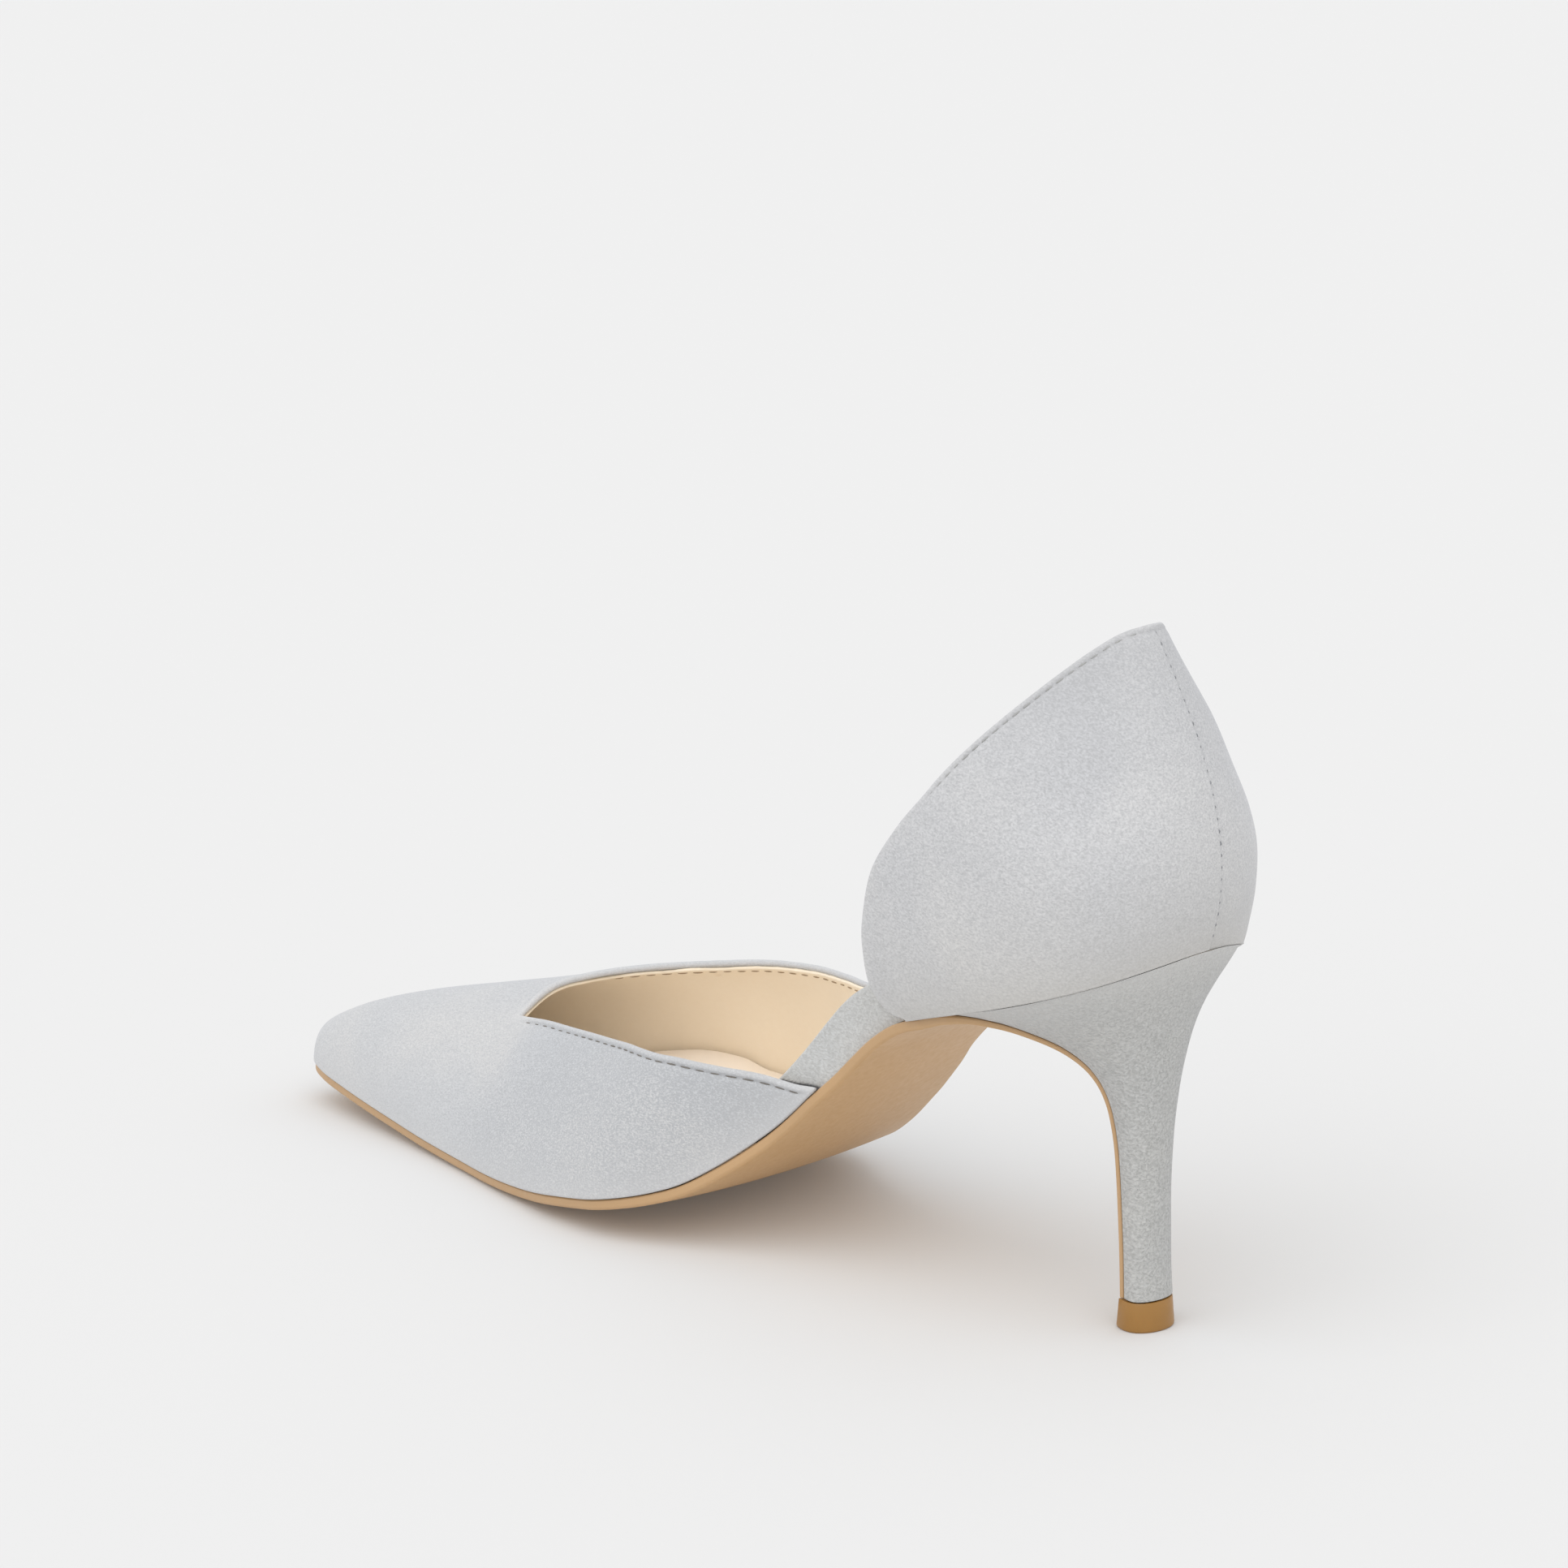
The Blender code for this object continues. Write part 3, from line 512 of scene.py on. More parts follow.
def addUpper(name, skin, rim, hem, sewn, lap, napLieShade, sizes, material, node):
    # suede with a rounded, sewn lip, and the masks that its finish reads
    relief = lipRelief(rim, sizes) * np.clip(hem / upper["reliefReach"], 0, 1) * sewn + lap
    edge = np.minimum(rim, hem * sizes["hemRound"])
    points, faces, source = closeShell(*skin, edge, 0.0, upper["suede"], relief)
    piece = addPiece(name, points, faces, material, "suede", node)
    masks = {
        "hem": np.exp(-hem / sizes["hemReach"]), "napLieShade": napLieShade, "lip": np.exp(-(rim / upper["lipReach"]) ** 3),
        "paintedShade": grooveShade(rim, sizes) * sewn * np.clip(hem / upper["grooveShadeReach"], 0, 1)}
    for mask, values in masks.items():
        setAttribute(piece, mask, values[source])


def addLining(name, skin, field, node):
    points, normals, faces, pairs = clipSkin(*skin, field)
    edge = np.maximum(field, 0.0)[pairs].min(axis=1)
    start = upper["suede"] + upper["liningGap"]
    allPoints, allFaces, _ = closeShell(points, normals, faces, edge, start, upper["lining"], 0.0)
    addPiece(name, allPoints, allFaces, leather["lining"], "insole_leather", node)


def sewLining(name, line, out, node):
    inside = line - out * (upper["suede"] + upper["lining"] + upper["liningStitchOff"])
    sewRow(name, inside, -out, liningStitch, node)


def lineAt(points, normals, faces, field, level):
    # longest chain along a skin where field has the given level
    links, used, best = {}, set(), []
    for face in faces:
        ends = [(min(i, j), max(i, j)) for i, j in sidesOf(face) if (field[i] >= level) != (field[j] >= level)]
        if len(ends) == 2:
            for a, b in (ends, ends[::-1]):
                links.setdefault(a, []).append(b)
    for start in [key for key, near in links.items() if len(near) == 1]:
        chain, onward = [], [start]
        while onward:
            chain.append(onward[0])
            used.add(onward[0])
            onward = [key for key in links[onward[0]] if key not in used]
        best = max(best, chain, key=len)
    cut = [crossing(points, normals, field, level, *key) for key in best]
    return tuple(np.array(part) for part in zip(*cut))


def loftRings(rings):
    count = len(rings[0])
    points = [p for ring in rings for p in ring]
    grid = np.arange(len(points)).reshape(-1, count)
    faces = gridFaces(np.column_stack((grid, grid[:, 0])))
    # both ends are closed with a ladder of quads
    for start, turn in ((0, -1), (len(points) - count, 1)):
        ladder = [(start, start + 1, start + count - 1)]
        for i in range(1, count // 2):
            a, b = start + i, start + count - i
            if a + 2 == b:
                ladder.append((a, a + 1, b))
            elif a + 1 < b:
                ladder.append((a, a + 1, b - 1, b))
        faces += [face[::turn] for face in ladder]
    solid, size = np.array(points), 0.0
    for face in faces:
        for i in range(1, len(face) - 1):
            size += np.dot(solid[face[0]], np.cross(solid[face[i]], solid[face[i + 1]]))
    return points, faces if size > 0 else [face[::-1] for face in faces]


# stitches: one tree for every row, laid along a path that knows which way is out
def makeStitchTree():
    tree = bpy.data.node_groups.new("stitchRow", "GeometryNodeTree")
    sockets = {}
    tree.interface.new_socket("Path", in_out="INPUT", socket_type="NodeSocketGeometry")
    for label, value in (("Pitch", 0.002), ("Length", 0.001), ("Thickness", 0.0003), ("Unevenness", 0.15)):
        socket = tree.interface.new_socket(label, in_out="INPUT", socket_type="NodeSocketFloat")
        socket.default_value = value
        sockets[label] = socket.identifier
    for label, kind in (("Seed", "NodeSocketInt"), ("Thread", "NodeSocketMaterial")):
        sockets[label] = tree.interface.new_socket(label, in_out="INPUT", socket_type=kind).identifier
    tree.interface.new_socket("Stitches", in_out="OUTPUT", socket_type="NodeSocketGeometry")

    def new(kind, **settings):
        node = tree.nodes.new(kind)
        for label, value in settings.items():
            setattr(node, label, value)
        return node

    def join(start, output, end, entry):
        tree.links.new(start.outputs[output], end.inputs[entry])

    gin, gout = new("NodeGroupInput"), new("NodeGroupOutput")
    toCurve, spread = new("GeometryNodeMeshToCurve"), new("GeometryNodeResampleCurve", mode="LENGTH")
    join(gin, "Path", toCurve, "Mesh")
    join(toCurve, "Curve", spread, "Curve")
    join(gin, "Pitch", spread, "Length")
    outward = new("GeometryNodeInputNamedAttribute", data_type="FLOAT_VECTOR")
    size = new("GeometryNodeInputNamedAttribute", data_type="FLOAT")
    outward.inputs["Name"].default_value, size.inputs["Name"].default_value = "outward", "size"
    along = new("FunctionNodeAlignRotationToVector", axis="X")
    up = new("FunctionNodeAlignRotationToVector", axis="Z", pivot_axis="X")
    join(new("GeometryNodeInputTangent"), 0, along, "Vector")
    join(along, 0, up, "Rotation")
    join(outward, "Attribute", up, "Vector")
    # one stitch is a bead drawn out along the row
    bead, shape, stretch = new("GeometryNodeMeshUVSphere"), new("GeometryNodeTransform"), new("ShaderNodeCombineXYZ")
    for label, value in (("Segments", 8), ("Rings", 5), ("Radius", 0.5)):
        bead.inputs[label].default_value = value
    for label, entry in (("Length", "X"), ("Thickness", "Y"), ("Thickness", "Z")):
        join(gin, label, stretch, entry)
    join(bead, "Mesh", shape, "Geometry")
    join(stretch, 0, shape, "Scale")
    vary = new("FunctionNodeRandomValue", data_type="FLOAT")
    for kind, socket in zip(("SUBTRACT", "ADD"), [s for s in vary.inputs if s.type == "VALUE"]):
        tree.links.new(mathNode(tree, kind, 1.0, gin.outputs["Unevenness"]), socket)
    join(gin, "Seed", vary, "Seed")
    varied = [s for s in vary.outputs if s.type == "VALUE"][0]
    scale = mathNode(tree, "MULTIPLY", varied, size.outputs["Attribute"])
    place, smooth = new("GeometryNodeInstanceOnPoints"), new("GeometryNodeSetShadeSmooth")
    realize, paint = new("GeometryNodeRealizeInstances"), new("GeometryNodeSetMaterial")
    join(spread, "Curve", place, "Points")
    join(shape, "Geometry", place, "Instance")
    join(up, 0, place, "Rotation")
    tree.links.new(scale, place.inputs["Scale"])
    for start, end in ((place, smooth), (smooth, realize), (realize, paint), (paint, gout)):
        join(start, 0, end, 0)
    join(gin, "Thread", paint, "Material")
    return tree, sockets


stitchTree, stitchSockets = makeStitchTree()


def sewRow(name, line, normals, row, node, sizes=None):
    mesh = bpy.data.meshes.new(name)
    mesh.from_pydata([toWorld(p) for p in line], [(i, i + 1) for i in range(len(line) - 1)], [])
    sizes = np.ones(len(line)) if sizes is None else sizes
    outward = mesh.attributes.new("outward", "FLOAT_VECTOR", "POINT")
    outward.data.foreach_set("vector", np.array(normals, np.float32).ravel())
    mesh.attributes.new("size", "FLOAT", "POINT").data.foreach_set("value", np.array(sizes, np.float32))
    piece = bpy.data.objects.new(name, mesh)
    bpy.context.scene.collection.objects.link(piece)
    sew = piece.modifiers.new("sew", "NODES")
    sew.node_group = stitchTree
    for label, key in stitchSockets.items():
        value = row[label.lower()]
        sew[key] = value * mm if label in ("Pitch", "Length", "Thickness") else value
    sewn = bpy.data.meshes.new_from_object(piece.evaluated_get(bpy.context.evaluated_depsgraph_get()))
    piece.modifiers.clear()
    piece.data = sewn
    sewn.name = name
    enterPiece(piece, node)
    print(name, len(sewn.polygons), "faces")


# vamp: suede outside, leather lining inside, stitched along the top edge
vamp = {
    # x, degrees round the arch of the top edge on the inner and outer side
    "topline": [
        (89.5, 0.4, 5), (94, 4.7, 10.6), (99, 10.2, 16.8), (107.5, 20, 28), (117, 29.6, 36.8),
        (128, 39.2, 43.4), (136, 44.4, 47.6), (146, 48.7, 53.3), (162, 54.6, 65.2), (173, 58.5, 80.5),
        (179.6, 60.2, 96), (181.8, 60.8, 105), (182.5, 61, 119), (212, 76, 104), (239.5, 90, 90)],
    # distances from the top edge and from the feather at which rows run
    "rimRows": [0, 0.12, 0.3, 0.5, 0.72, 0.95, 1.15, 1.3, 1.4, 1.5, 1.6, 1.75, 2.0, 2.6, 3.6],
    "hemRows": [0, 0.12, 0.3, 0.55, 0.9, 1.5], "middleRows": 76,
    "wingColumns": [0, 0.3, 0.7, 1.2, 1.9, 2.8], "bodyStep": 1.2, "throatStep": 0.6, "frontStep": 1.4,
    "throatBack": 12.0, "throatFront": 5.0, "toeReach": 16.0, "toeColumns": 19, "hemShare": 0.2,
    "hemGap": 0.12, "hemRound": 2, "hemReach": 5.0,
    "stitchAt": 1.5, "groove": 0.26, "grooveWide": 0.34, "puff": 0.2, "puffAt": 0.8, "puffWide": 0.42,
    "grooveShade": 0.12, "throatFlat": (1.2, 6.0), "smallest": 0.7, "growth": 0.3, "growReach": (6.0, 45.0),
    "throatY": 4.2, "ridgeStop": -13.0, "wingStop": 94.0,
    "liningShort": 3.0, "liningStitchAt": 1.59, "liningThroatY": 8.0,
    # where the nap lies the other way the vamp is drawn darker, a painted shade
    "napShadeX": 186.0, "napShadeLean": -0.9, "napShadeZ": 15.0, "napShadeFade": (-12.0, 34.0), "napShadeY": 8.0,
    # x and how far the cut edge of the lining wanders on the outer side
    "liningWave": [
        (90, 0), (150, 0), (158, 0.25), (163, -0.2), (168, 0.45), (172, 0.2), (176, 0.7), (179, 0.1), (182, 0)],
}
lineNudge = 0.004  # keeps a level line off the points that lie on it
vampStitch = {"pitch": 3.3, "length": 2.3, "thickness": 0.29, "unevenness": 0.12, "seed": 3, "thread": thread}
liningStitch = {"pitch": 3.05, "length": 2.0, "thickness": 0.34, "unevenness": 0.12, "seed": 5, "thread": liningThread}
topInner, topOuter = curvesOf(vamp["topline"])


def archColumn(x, turns):
    # points of the last round the arch: 0 degrees at the inner feather, 90 on the ridge, 180 at the outer feather
    turns = np.asarray(turns, float)
    angle = np.radians(turns)
    base = featherZ(x) + vamp["hemGap"]
    points = np.empty((len(turns), 3))
    points[:, 0] = x
    for side, pick, full in ((1, turns <= 90, innerFull(x)), (-1, turns > 90, outerFull(x))):
        edge = featherMid(x) + side * upperHalf(x)
        points[pick, 1] = ridgeY(x) + (edge - ridgeY(x)) * np.abs(np.cos(angle[pick])) ** (2 / full)
        points[pick, 2] = base + (ridgeZ(x) - base) * np.sin(angle[pick]) ** (2 / full)
    return points


def vampColumns():
    wing = last["wingX"] + np.array(vamp["wingColumns"])
    step, fine, wide = vamp["bodyStep"], vamp["throatStep"], vamp["frontStep"]
    body = np.arange(wing[-1] + step, last["throatX"] - vamp["throatBack"], step)
    throat = np.arange(body[-1] + fine, last["throatX"] + vamp["throatFront"], fine)
    front = np.arange(throat[-1] + wide, last["toeX"] - vamp["toeReach"], wide)
    toe = last["toeX"] - vamp["toeReach"] * (1 - np.linspace(0, 1, vamp["toeColumns"])) ** 2
    return np.concatenate((wing, body, throat, front, toe))


def vampGrid():
    # the whole arch from feather to feather, and which of its points lie below the topline
    hem, rows, turns = np.array(vamp["hemRows"]), vamp["middleRows"], np.linspace(0, 180, 721)
    points, inside = [], []
    for x in vampColumns():
        dense = archColumn(x, turns)
        run = np.concatenate(([0.0], np.cumsum(np.linalg.norm(np.diff(dense, axis=0), axis=1))))
        edge = hem * min(1.0, vamp["hemShare"] * run[-1] / hem[-1])
        middle = np.linspace(edge[-1], run[-1] - edge[-1], rows + 2)[1:-1]
        places = np.concatenate((edge, middle, run[-1] - edge[::-1]))
        points += [[np.interp(d, run, dense[:, c]) for c in range(3)] for d in places]
        turned = np.interp(places, run, turns)
        inside += list((x > last["throatX"]) | (turned < topInner(x)) | (turned > 180 - topOuter(x)))
    grid = np.arange(len(points)).reshape(-1, len(places))
    return np.array(points), gridFaces(grid), np.array(inside), grid


def splitSkin(points, faces, field, level, snap=0.03):
    # cuts every face that crosses a level of the field in two along that line
    field = np.where(np.abs(field - level) < snap, level, field)
    points, values, place, newFaces = list(points), list(field), {}, []
    for face in faces:
        near = [values[i] - level for i in face]
        if min(near) >= 0 or max(near) <= 0:
            newFaces.append(face)
            continue
        low, high = [], []
        for (i, j), (a, b) in zip(sidesOf(face), sidesOf(near)):
            low += [i] * (a <= 0)
            high += [i] * (a >= 0)
            if a * b < 0:
                key = (min(i, j), max(i, j))
                if key not in place:
                    place[key] = len(points)
                    points.append(points[i] + (points[j] - points[i]) * (a / (a - b)))
                    values.append(level)
                low.append(place[key])
                high.append(place[key])
        newFaces += [tuple(part) for part in (low, high) if len(part) > 2]
    return np.array(points), newFaces, np.array(values)


def vampSkin():
    points, faces, inside, grid = vampGrid()
    dense = np.linspace(last["wingX"], last["throatX"], 400)
    line = [archColumn(x, [topInner(x)])[0] for x in dense]
    line += [archColumn(x, [180 - topOuter(x)])[0] for x in dense[::-1]]
    field = distanceTo(np.array(line), points) * np.where(inside, 1.0, -1.0)
    for level in vamp["rimRows"]:
        points, faces, field = splitSkin(points, faces, field, level)
    faces = [face for face in faces if np.mean(field[list(face)]) > 0]
    used = sorted({i for face in faces for i in face})
    new = {old: i for i, old in enumerate(used)}
    edges = [points[[i for i in grid[:, row] if i in new]] for row in (0, -1)]
    ends = [points[[i for i in grid[0] if i in new and (points[i][1] > 0) == near]] for near in (True, False)]
    return points[used], [tuple(new[i] for i in face) for face in faces], field[used], edges, ends


def makeVamp():
    points, faces, top, edges, wings = vampSkin()
    normals = normalsOf(points, faces)
    hem = np.minimum(*(distanceTo(edge, points) for edge in edges))
    ends = np.minimum(*(distanceTo(wing, points) for wing in wings))
    rim = np.minimum(top, ends)
    throat = archColumn(last["throatX"], [topInner(last["throatX"])])[0]
    away = smoothSteps(np.linalg.norm(points - throat, axis=1), *vamp["throatFlat"])
    # nap lies the other way on the inner side behind a soft line down from the throat; there the suede is also drawn
    # darker, a painted shade
    behind = vamp["napShadeX"] - points[:, 0] + vamp["napShadeLean"] * (points[:, 2] - vamp["napShadeZ"])
    napLieShade = smoothSteps(behind, *vamp["napShadeFade"]) * np.clip(points[:, 1] / vamp["napShadeY"], 0, 1)
    skin = (points, normals, faces)
    addUpper("vampUpper", skin, rim, hem, away, 0.0, napLieShade, vamp, suede["vamp"], "upper_vamp")
    line, out = lineAt(*skin, rim, vamp["stitchAt"] + lineNudge)
    sewn = line[:, 0] > vamp["wingStop"]
    sunk = line - out * (vamp["groove"] - upper["stitchProud"])
    size = vamp["smallest"] + vamp["growth"] * smoothSteps(np.linalg.norm(line - throat, axis=1), *vamp["growReach"])
    for name, half in (("Inner", line[:, 1] > vamp["throatY"]), ("Outer", line[:, 1] < vamp["ridgeStop"])):
        pick = sewn & half
        sewRow("vampStitches" + name, sunk[pick], out[pick], vampStitch, "upper_vamp", size[pick])

    wave = smoothCurve(*zip(*vamp["liningWave"]))
    drop = np.array([upper["liningDrop"] + (wave(p[0]) if p[1] < 0 else 0.0) for p in points])
    field = np.minimum(np.minimum(top - drop, ends - vamp["liningShort"]), hem - upper["liningRise"])
    addLining("vampLining", skin, field, "upper_vamp")
    line, out = lineAt(*skin, rim, vamp["liningStitchAt"] + lineNudge)
    for name, pick in (("Inner", line[:, 1] > vamp["liningThroatY"]), ("Outer", line[:, 1] < vamp["ridgeStop"])):
        sewLining("vampLiningStitches" + name, line[pick], out[pick], "upper_vamp")


makeVamp()
print("vamp made")

# counter: the closed back, with a lapped seam down its middle
counter = {
    # height over the seat, back, front, half width, roundness of the back, half width at the front
    "rows": [
        (0, 0, 59, 22.5, 22, 19.3), (1.2, -0.9, 61.2, 22.9, 22.2, 19.6), (3.5, -2.5, 63, 23.5, 22.4, 20),
        (8, -5.4, 64, 24.4, 22.6, 20.8), (15, -8.3, 62.5, 25, 22.6, 21.6), (22, -9.7, 58.5, 24.8, 20, 22.4),
        (28, -10.2, 53.5, 24.4, 16, 22.9), (34, -10.1, 44.5, 23.7, 13.4, 23), (39, -9.6, 35, 22.6, 12, 22.3),
        (43, -9, 27.6, 21.4, 10.2, 20.8), (47, -8.3, 19.5, 20, 8.4, 18.6), (50.5, -7.6, 11.8, 18.5, 7.2, 15.8),
        (53.5, -7, 5, 16.5, 6.4, 12), (55.6, -6.5, 0, 14.5, 6, 8.9), (56.8, -6.1, -3, 12, 5.5, 5.6),
        (57.2, -6, -4.7, 10, 5, 3.3)],
    # distances from the edge and heights over the seat at which rows run
    "edgeRows": [0, 0.12, 0.28, 0.45, 0.65, 0.85, 1.0, 1.15, 1.3, 1.45, 1.6, 1.8, 2.2, 3.0, 4.2],
    "heights": [
        -0.3, -0.2, 0.0, 0.3, 0.6, 0.9, 1.5, 2.3, *np.arange(3.5, 50, 1.3), *np.arange(50, 56.6, 0.6),
        56.7, 56.9, 57.05, 57.2],
    # from the back seam forward, closest at the seam
    "bodySteps": [0.0, 0.0025, 0.005, 0.0075, 0.01, 0.014, 0.019, 0.026, 0.036, 0.05, 0.07, *np.linspace(0.1, 1.0, 27)],
    "mostStretch": 2.6, "edgeShare": 0.45,
    "hemRound": 4, "hemReach": 9.0, "napShadeZ": (92.0, 124.0),
    "stitchAt": 1.3, "groove": 0.17, "grooveWide": 0.3, "puff": 0.1, "puffAt": 0.7, "puffWide": 0.4,
    "grooveShade": 0.16, "seamRows": (2.0, 55.5), "peakStop": (4.0, 9.0), "liningStitchAt": 1.6,
    "stitchFade": (86.0, 104.0), "fadeStop": 0.03, "fadeSink": 0.2, "smallest": 0.5,
    "lap": 0.32, "lapFade": 9.0, "lapWide": 0.24, "lapShare": 0.35, "lapFront": 45.0, "lapReach": 3.0,
}
counterStitch = {"pitch": 2.45, "length": 1.6, "thickness": 0.36, "unevenness": 0.25, "seed": 11, "thread": paleThread}
seamStitch = {"pitch": 2.1, "length": 0.6, "thickness": 0.46, "unevenness": 0.3, "seed": 17, "thread": seamThread}
counterCurves = curvesOf(counter["rows"])


def seatPoint(along, y, height):
    pitch = math.radians(last["seatPitch"])
    x = last["seatBack"] + along * math.cos(pitch) + height * math.sin(pitch)
    z = last["seatHeight"] - along * math.sin(pitch) + height * math.cos(pitch)
    sag = last["seatHeight"] - (x - last["seatBack"]) * math.tan(pitch) - featherZ(x)
    return x, y, z - max(sag * (1 - smoothStep(height, 0.0, last["sagFade"])), 0.0)


def counterWidth(along, back, front, half, roundness, frontHalf):
    depth = half ** 2 / roundness
    fromBack = along - back
    if fromBack < depth:
        return half * math.sqrt(max(1 - (1 - fromBack / depth) ** 2, 0.0))
    u = (fromBack - depth) / (front - back - depth)
    return half + (frontHalf - half) * u * u


def counterSkin(span=0.4):
    heights, points = counter["heights"], []
    for h in heights:
        back, front, half, roundness, frontHalf = [curve(h) for curve in counterCurves]
        low, high = max(h - span, 0.0), min(h + span, heights[-1])
        edge = counterCurves[1](high) - counterCurves[1](low)
        stretch = min(math.hypot(edge, high - low) / (high - low), counter["mostStretch"])
        long = front - back
        inset = np.array(counter["edgeRows"]) * stretch
        inset = inset * min(1.0, counter["edgeShare"] * long / inset[-1])
        places = [back + (long - inset[-1]) * q * q for q in counter["bodySteps"]] + [front - d for d in inset[-2::-1]]
        sides = [(a, counterWidth(a, back, front, half, roundness, frontHalf)) for a in places]
        line = sides[::-1] + [(a, -y) for a, y in sides[1:]]
        points += [seatPoint(a, y, h + last["gap"]) for a, y in line]
    points, grid = np.array(points), np.arange(len(points)).reshape(-1, len(line))
    faces = gridFaces(grid)
    normals = normalsOf(points, faces)
    if normals[grid[20, 5]][1] < 0:
        faces, normals = [face[::-1] for face in faces], -normals
    return (points, normals, faces), grid


def makeCounter():
    skin, grid = counterSkin()
    points, normals, _ = skin
    rim = distanceTo(np.concatenate((points[grid[:, 0]], points[grid[-1]], points[grid[::-1, -1]])), points)
    hem = distanceTo(points[grid[0]], points)
    onBack = np.exp(-(points[:, 1] / counter["lapFade"]) ** 2) * (points[:, 0] < counter["lapFront"])
    step = np.clip((points[:, 1] + counter["lapWide"] / 2) / counter["lapWide"], 0, 1)
    lap = counter["lap"] * (step - counter["lapShare"]) * onBack * np.clip(rim / counter["lapReach"], 0, 1)
    # the top of the counter is drawn darker, a painted shade
    sewn, napLieShade = (smoothSteps(points[:, 2], *counter[key]) for key in ("stitchFade", "napShadeZ"))
    addUpper("counterUpper", skin, rim, hem, sewn, lap, napLieShade, counter, suede["counter"], "upper_counter")
    line, out = lineAt(*skin, rim, counter["stitchAt"] + lineNudge)
    fade = smoothSteps(line[:, 2], *counter["stitchFade"])
    sunk = line - out * (counter["groove"] - upper["stitchProud"] + counter["fadeSink"] * (1 - fade))[:, None]
    size = counter["smallest"] + (1 - counter["smallest"]) * fade
    for name, side, stop in zip(("Inner", "Outer"), (1, -1), counter["peakStop"]):
        seen = (fade > counter["fadeStop"]) & (line[:, 1] * side > stop)
        sewRow("counterStitches" + name, sunk[seen], out[seen], counterStitch, "upper_counter", size[seen])
    low, high = counter["seamRows"]
    ids = grid[[r for r, h in enumerate(counter["heights"]) if low < h < high], grid.shape[1] // 2 + 1]
    seam = points[ids] - normals[ids] * upper["stitchProud"]
    sewRow("backSeamStitches", seam, normals[ids], seamStitch, "upper_counter")

    field = np.minimum(rim - upper["liningDrop"], hem - upper["liningRise"])
    addLining("counterLining", skin, field, "upper_counter")
    sewLining("counterLiningStitches", *lineAt(*skin, rim, counter["liningStitchAt"]), "upper_counter")


makeCounter()
print("counter made")

# waist strips: suede folded over the edge of the insole
strip = {
    "backHeight": 8.4, "frontHeight": 7.2, "thickness": 1.2, "base": 0.1, "back": 69.0, "front": 104.0, "setting": 0.2,
    "near": 2.0, "far": 8.0, "stations": 90, "sideSteps": 24, "swell": 1.0, "swellX": 79.0, "swellReach": 7.0,
    # painted shade: a dark band where the strip runs in behind the wing
    "paintedShade": 0.3, "shadeBack": 91.0, "shadeFront": 101.0, "shadeStart": 2.5,
    "shadeLag": 2.3, "shadeSink": 0.6, "shadeSoft": 0.15,
}


def stripOuter(x):
    return upperHalf(x) - last["wall"] - last["gap"] - strip["setting"]


def stripWindow(x):
    rise = smoothStep(x, strip["back"] - strip["far"], strip["back"] - strip["near"])
    return rise * (1 - smoothStep(x, strip["front"] + strip["near"], strip["front"] + strip["far"]))


def makeStrip(name, side, node):
    rings = []
    for x in np.linspace(strip["back"], strip["front"], strip["stations"]):
        outer = stripOuter(x)
        inner = outer - strip["thickness"]
        r = strip["thickness"] / 2
        height = np.interp(x, (strip["back"], strip["front"]), (strip["backHeight"], strip["frontHeight"]))
        height += strip["swell"] * math.exp(-((x - strip["swellX"]) / strip["swellReach"]) ** 2)
        base, steps = strip["base"], strip["sideSteps"]
        profile = [(outer, base + (height - r - base) * i / steps) for i in range(steps + 1)]
        profile += arc(outer - r, height - r, r, [math.pi * i / 8 for i in range(1, 8)])
        profile += [(inner, height - r + (base + r - height) * i / 4) for i in range(5)]
        rings.append([overFeather(x, featherMid(x) + side * y, lift) for y, lift in profile])
    points, faces = loftRings(rings)
    piece = addPiece(name, points, faces, suede["strip"], "suede", node, 50)
    # painted shade on the strip's outer face, just below the lip of the wing
    paintedShade = []
    for i, (x, y, z) in enumerate(points):
        if i % len(rings[0]) > strip["sideSteps"]:
            paintedShade.append(0.0)
            continue
        lipX = max(x - strip["shadeLag"], last["wingX"])
        lipTurn = topInner(lipX) if side > 0 else 180 - topOuter(lipX)
        lipZ = archColumn(lipX, [lipTurn])[0][2] - strip["shadeSink"]
        wide = strip["paintedShade"] * (1 - smoothStep(x, strip["shadeBack"], strip["shadeFront"]))
        begun = smoothStep(x, strip["shadeBack"] - strip["shadeStart"], strip["shadeBack"])
        paintedShade.append(begun * (1 - smoothStep(z - lipZ, wide * 0.5, wide + strip["shadeSoft"])))
    setAttribute(piece, "paintedShade", paintedShade)


makeStrip("waistStripInner", 1, "waist_strip_medial")
makeStrip("waistStripOuter", -1, "waist_strip_lateral")

# insole: padded board under a leather sock
insole = {
    "front": 233.0, "round": 1.4, "stations": 110, "endReach": 18.0, "endStations": 20,
    # x, thickness at the edges, how far the middle is dished
    "padding": [
        (12.8, 4.5, 0.8), (45, 5.5, 0.8), (72, 7.6, 0.8), (104, 6.6, 0.8), (124, 7.2, 0.8), (146, 8, 0.8),
        (154, 9.4, 1.4), (160, 11.7, 2.8), (168, 12.6, 3.4), (177, 11.6, 3.0), (188, 8, 1.5), (200, 4.6, 0.8),
        (215, 3.2, 0.8), (233, 1.8, 0.8)],
}
insoleThick, insoleDish = curvesOf(insole["padding"])


def vampHalf(x, side, lift):
    full = innerFull(x) if side > 0 else outerFull(x)
    up = min(max(lift / (ridgeZ(x) - featherZ(x)), 0.0), 1.0)
    across = (1 - up ** full) ** (1 / full)
    fromRidge = featherMid(x) + side * upperHalf(x) - ridgeY(x)
    return side * (ridgeY(x) + fromRidge * across - featherMid(x))


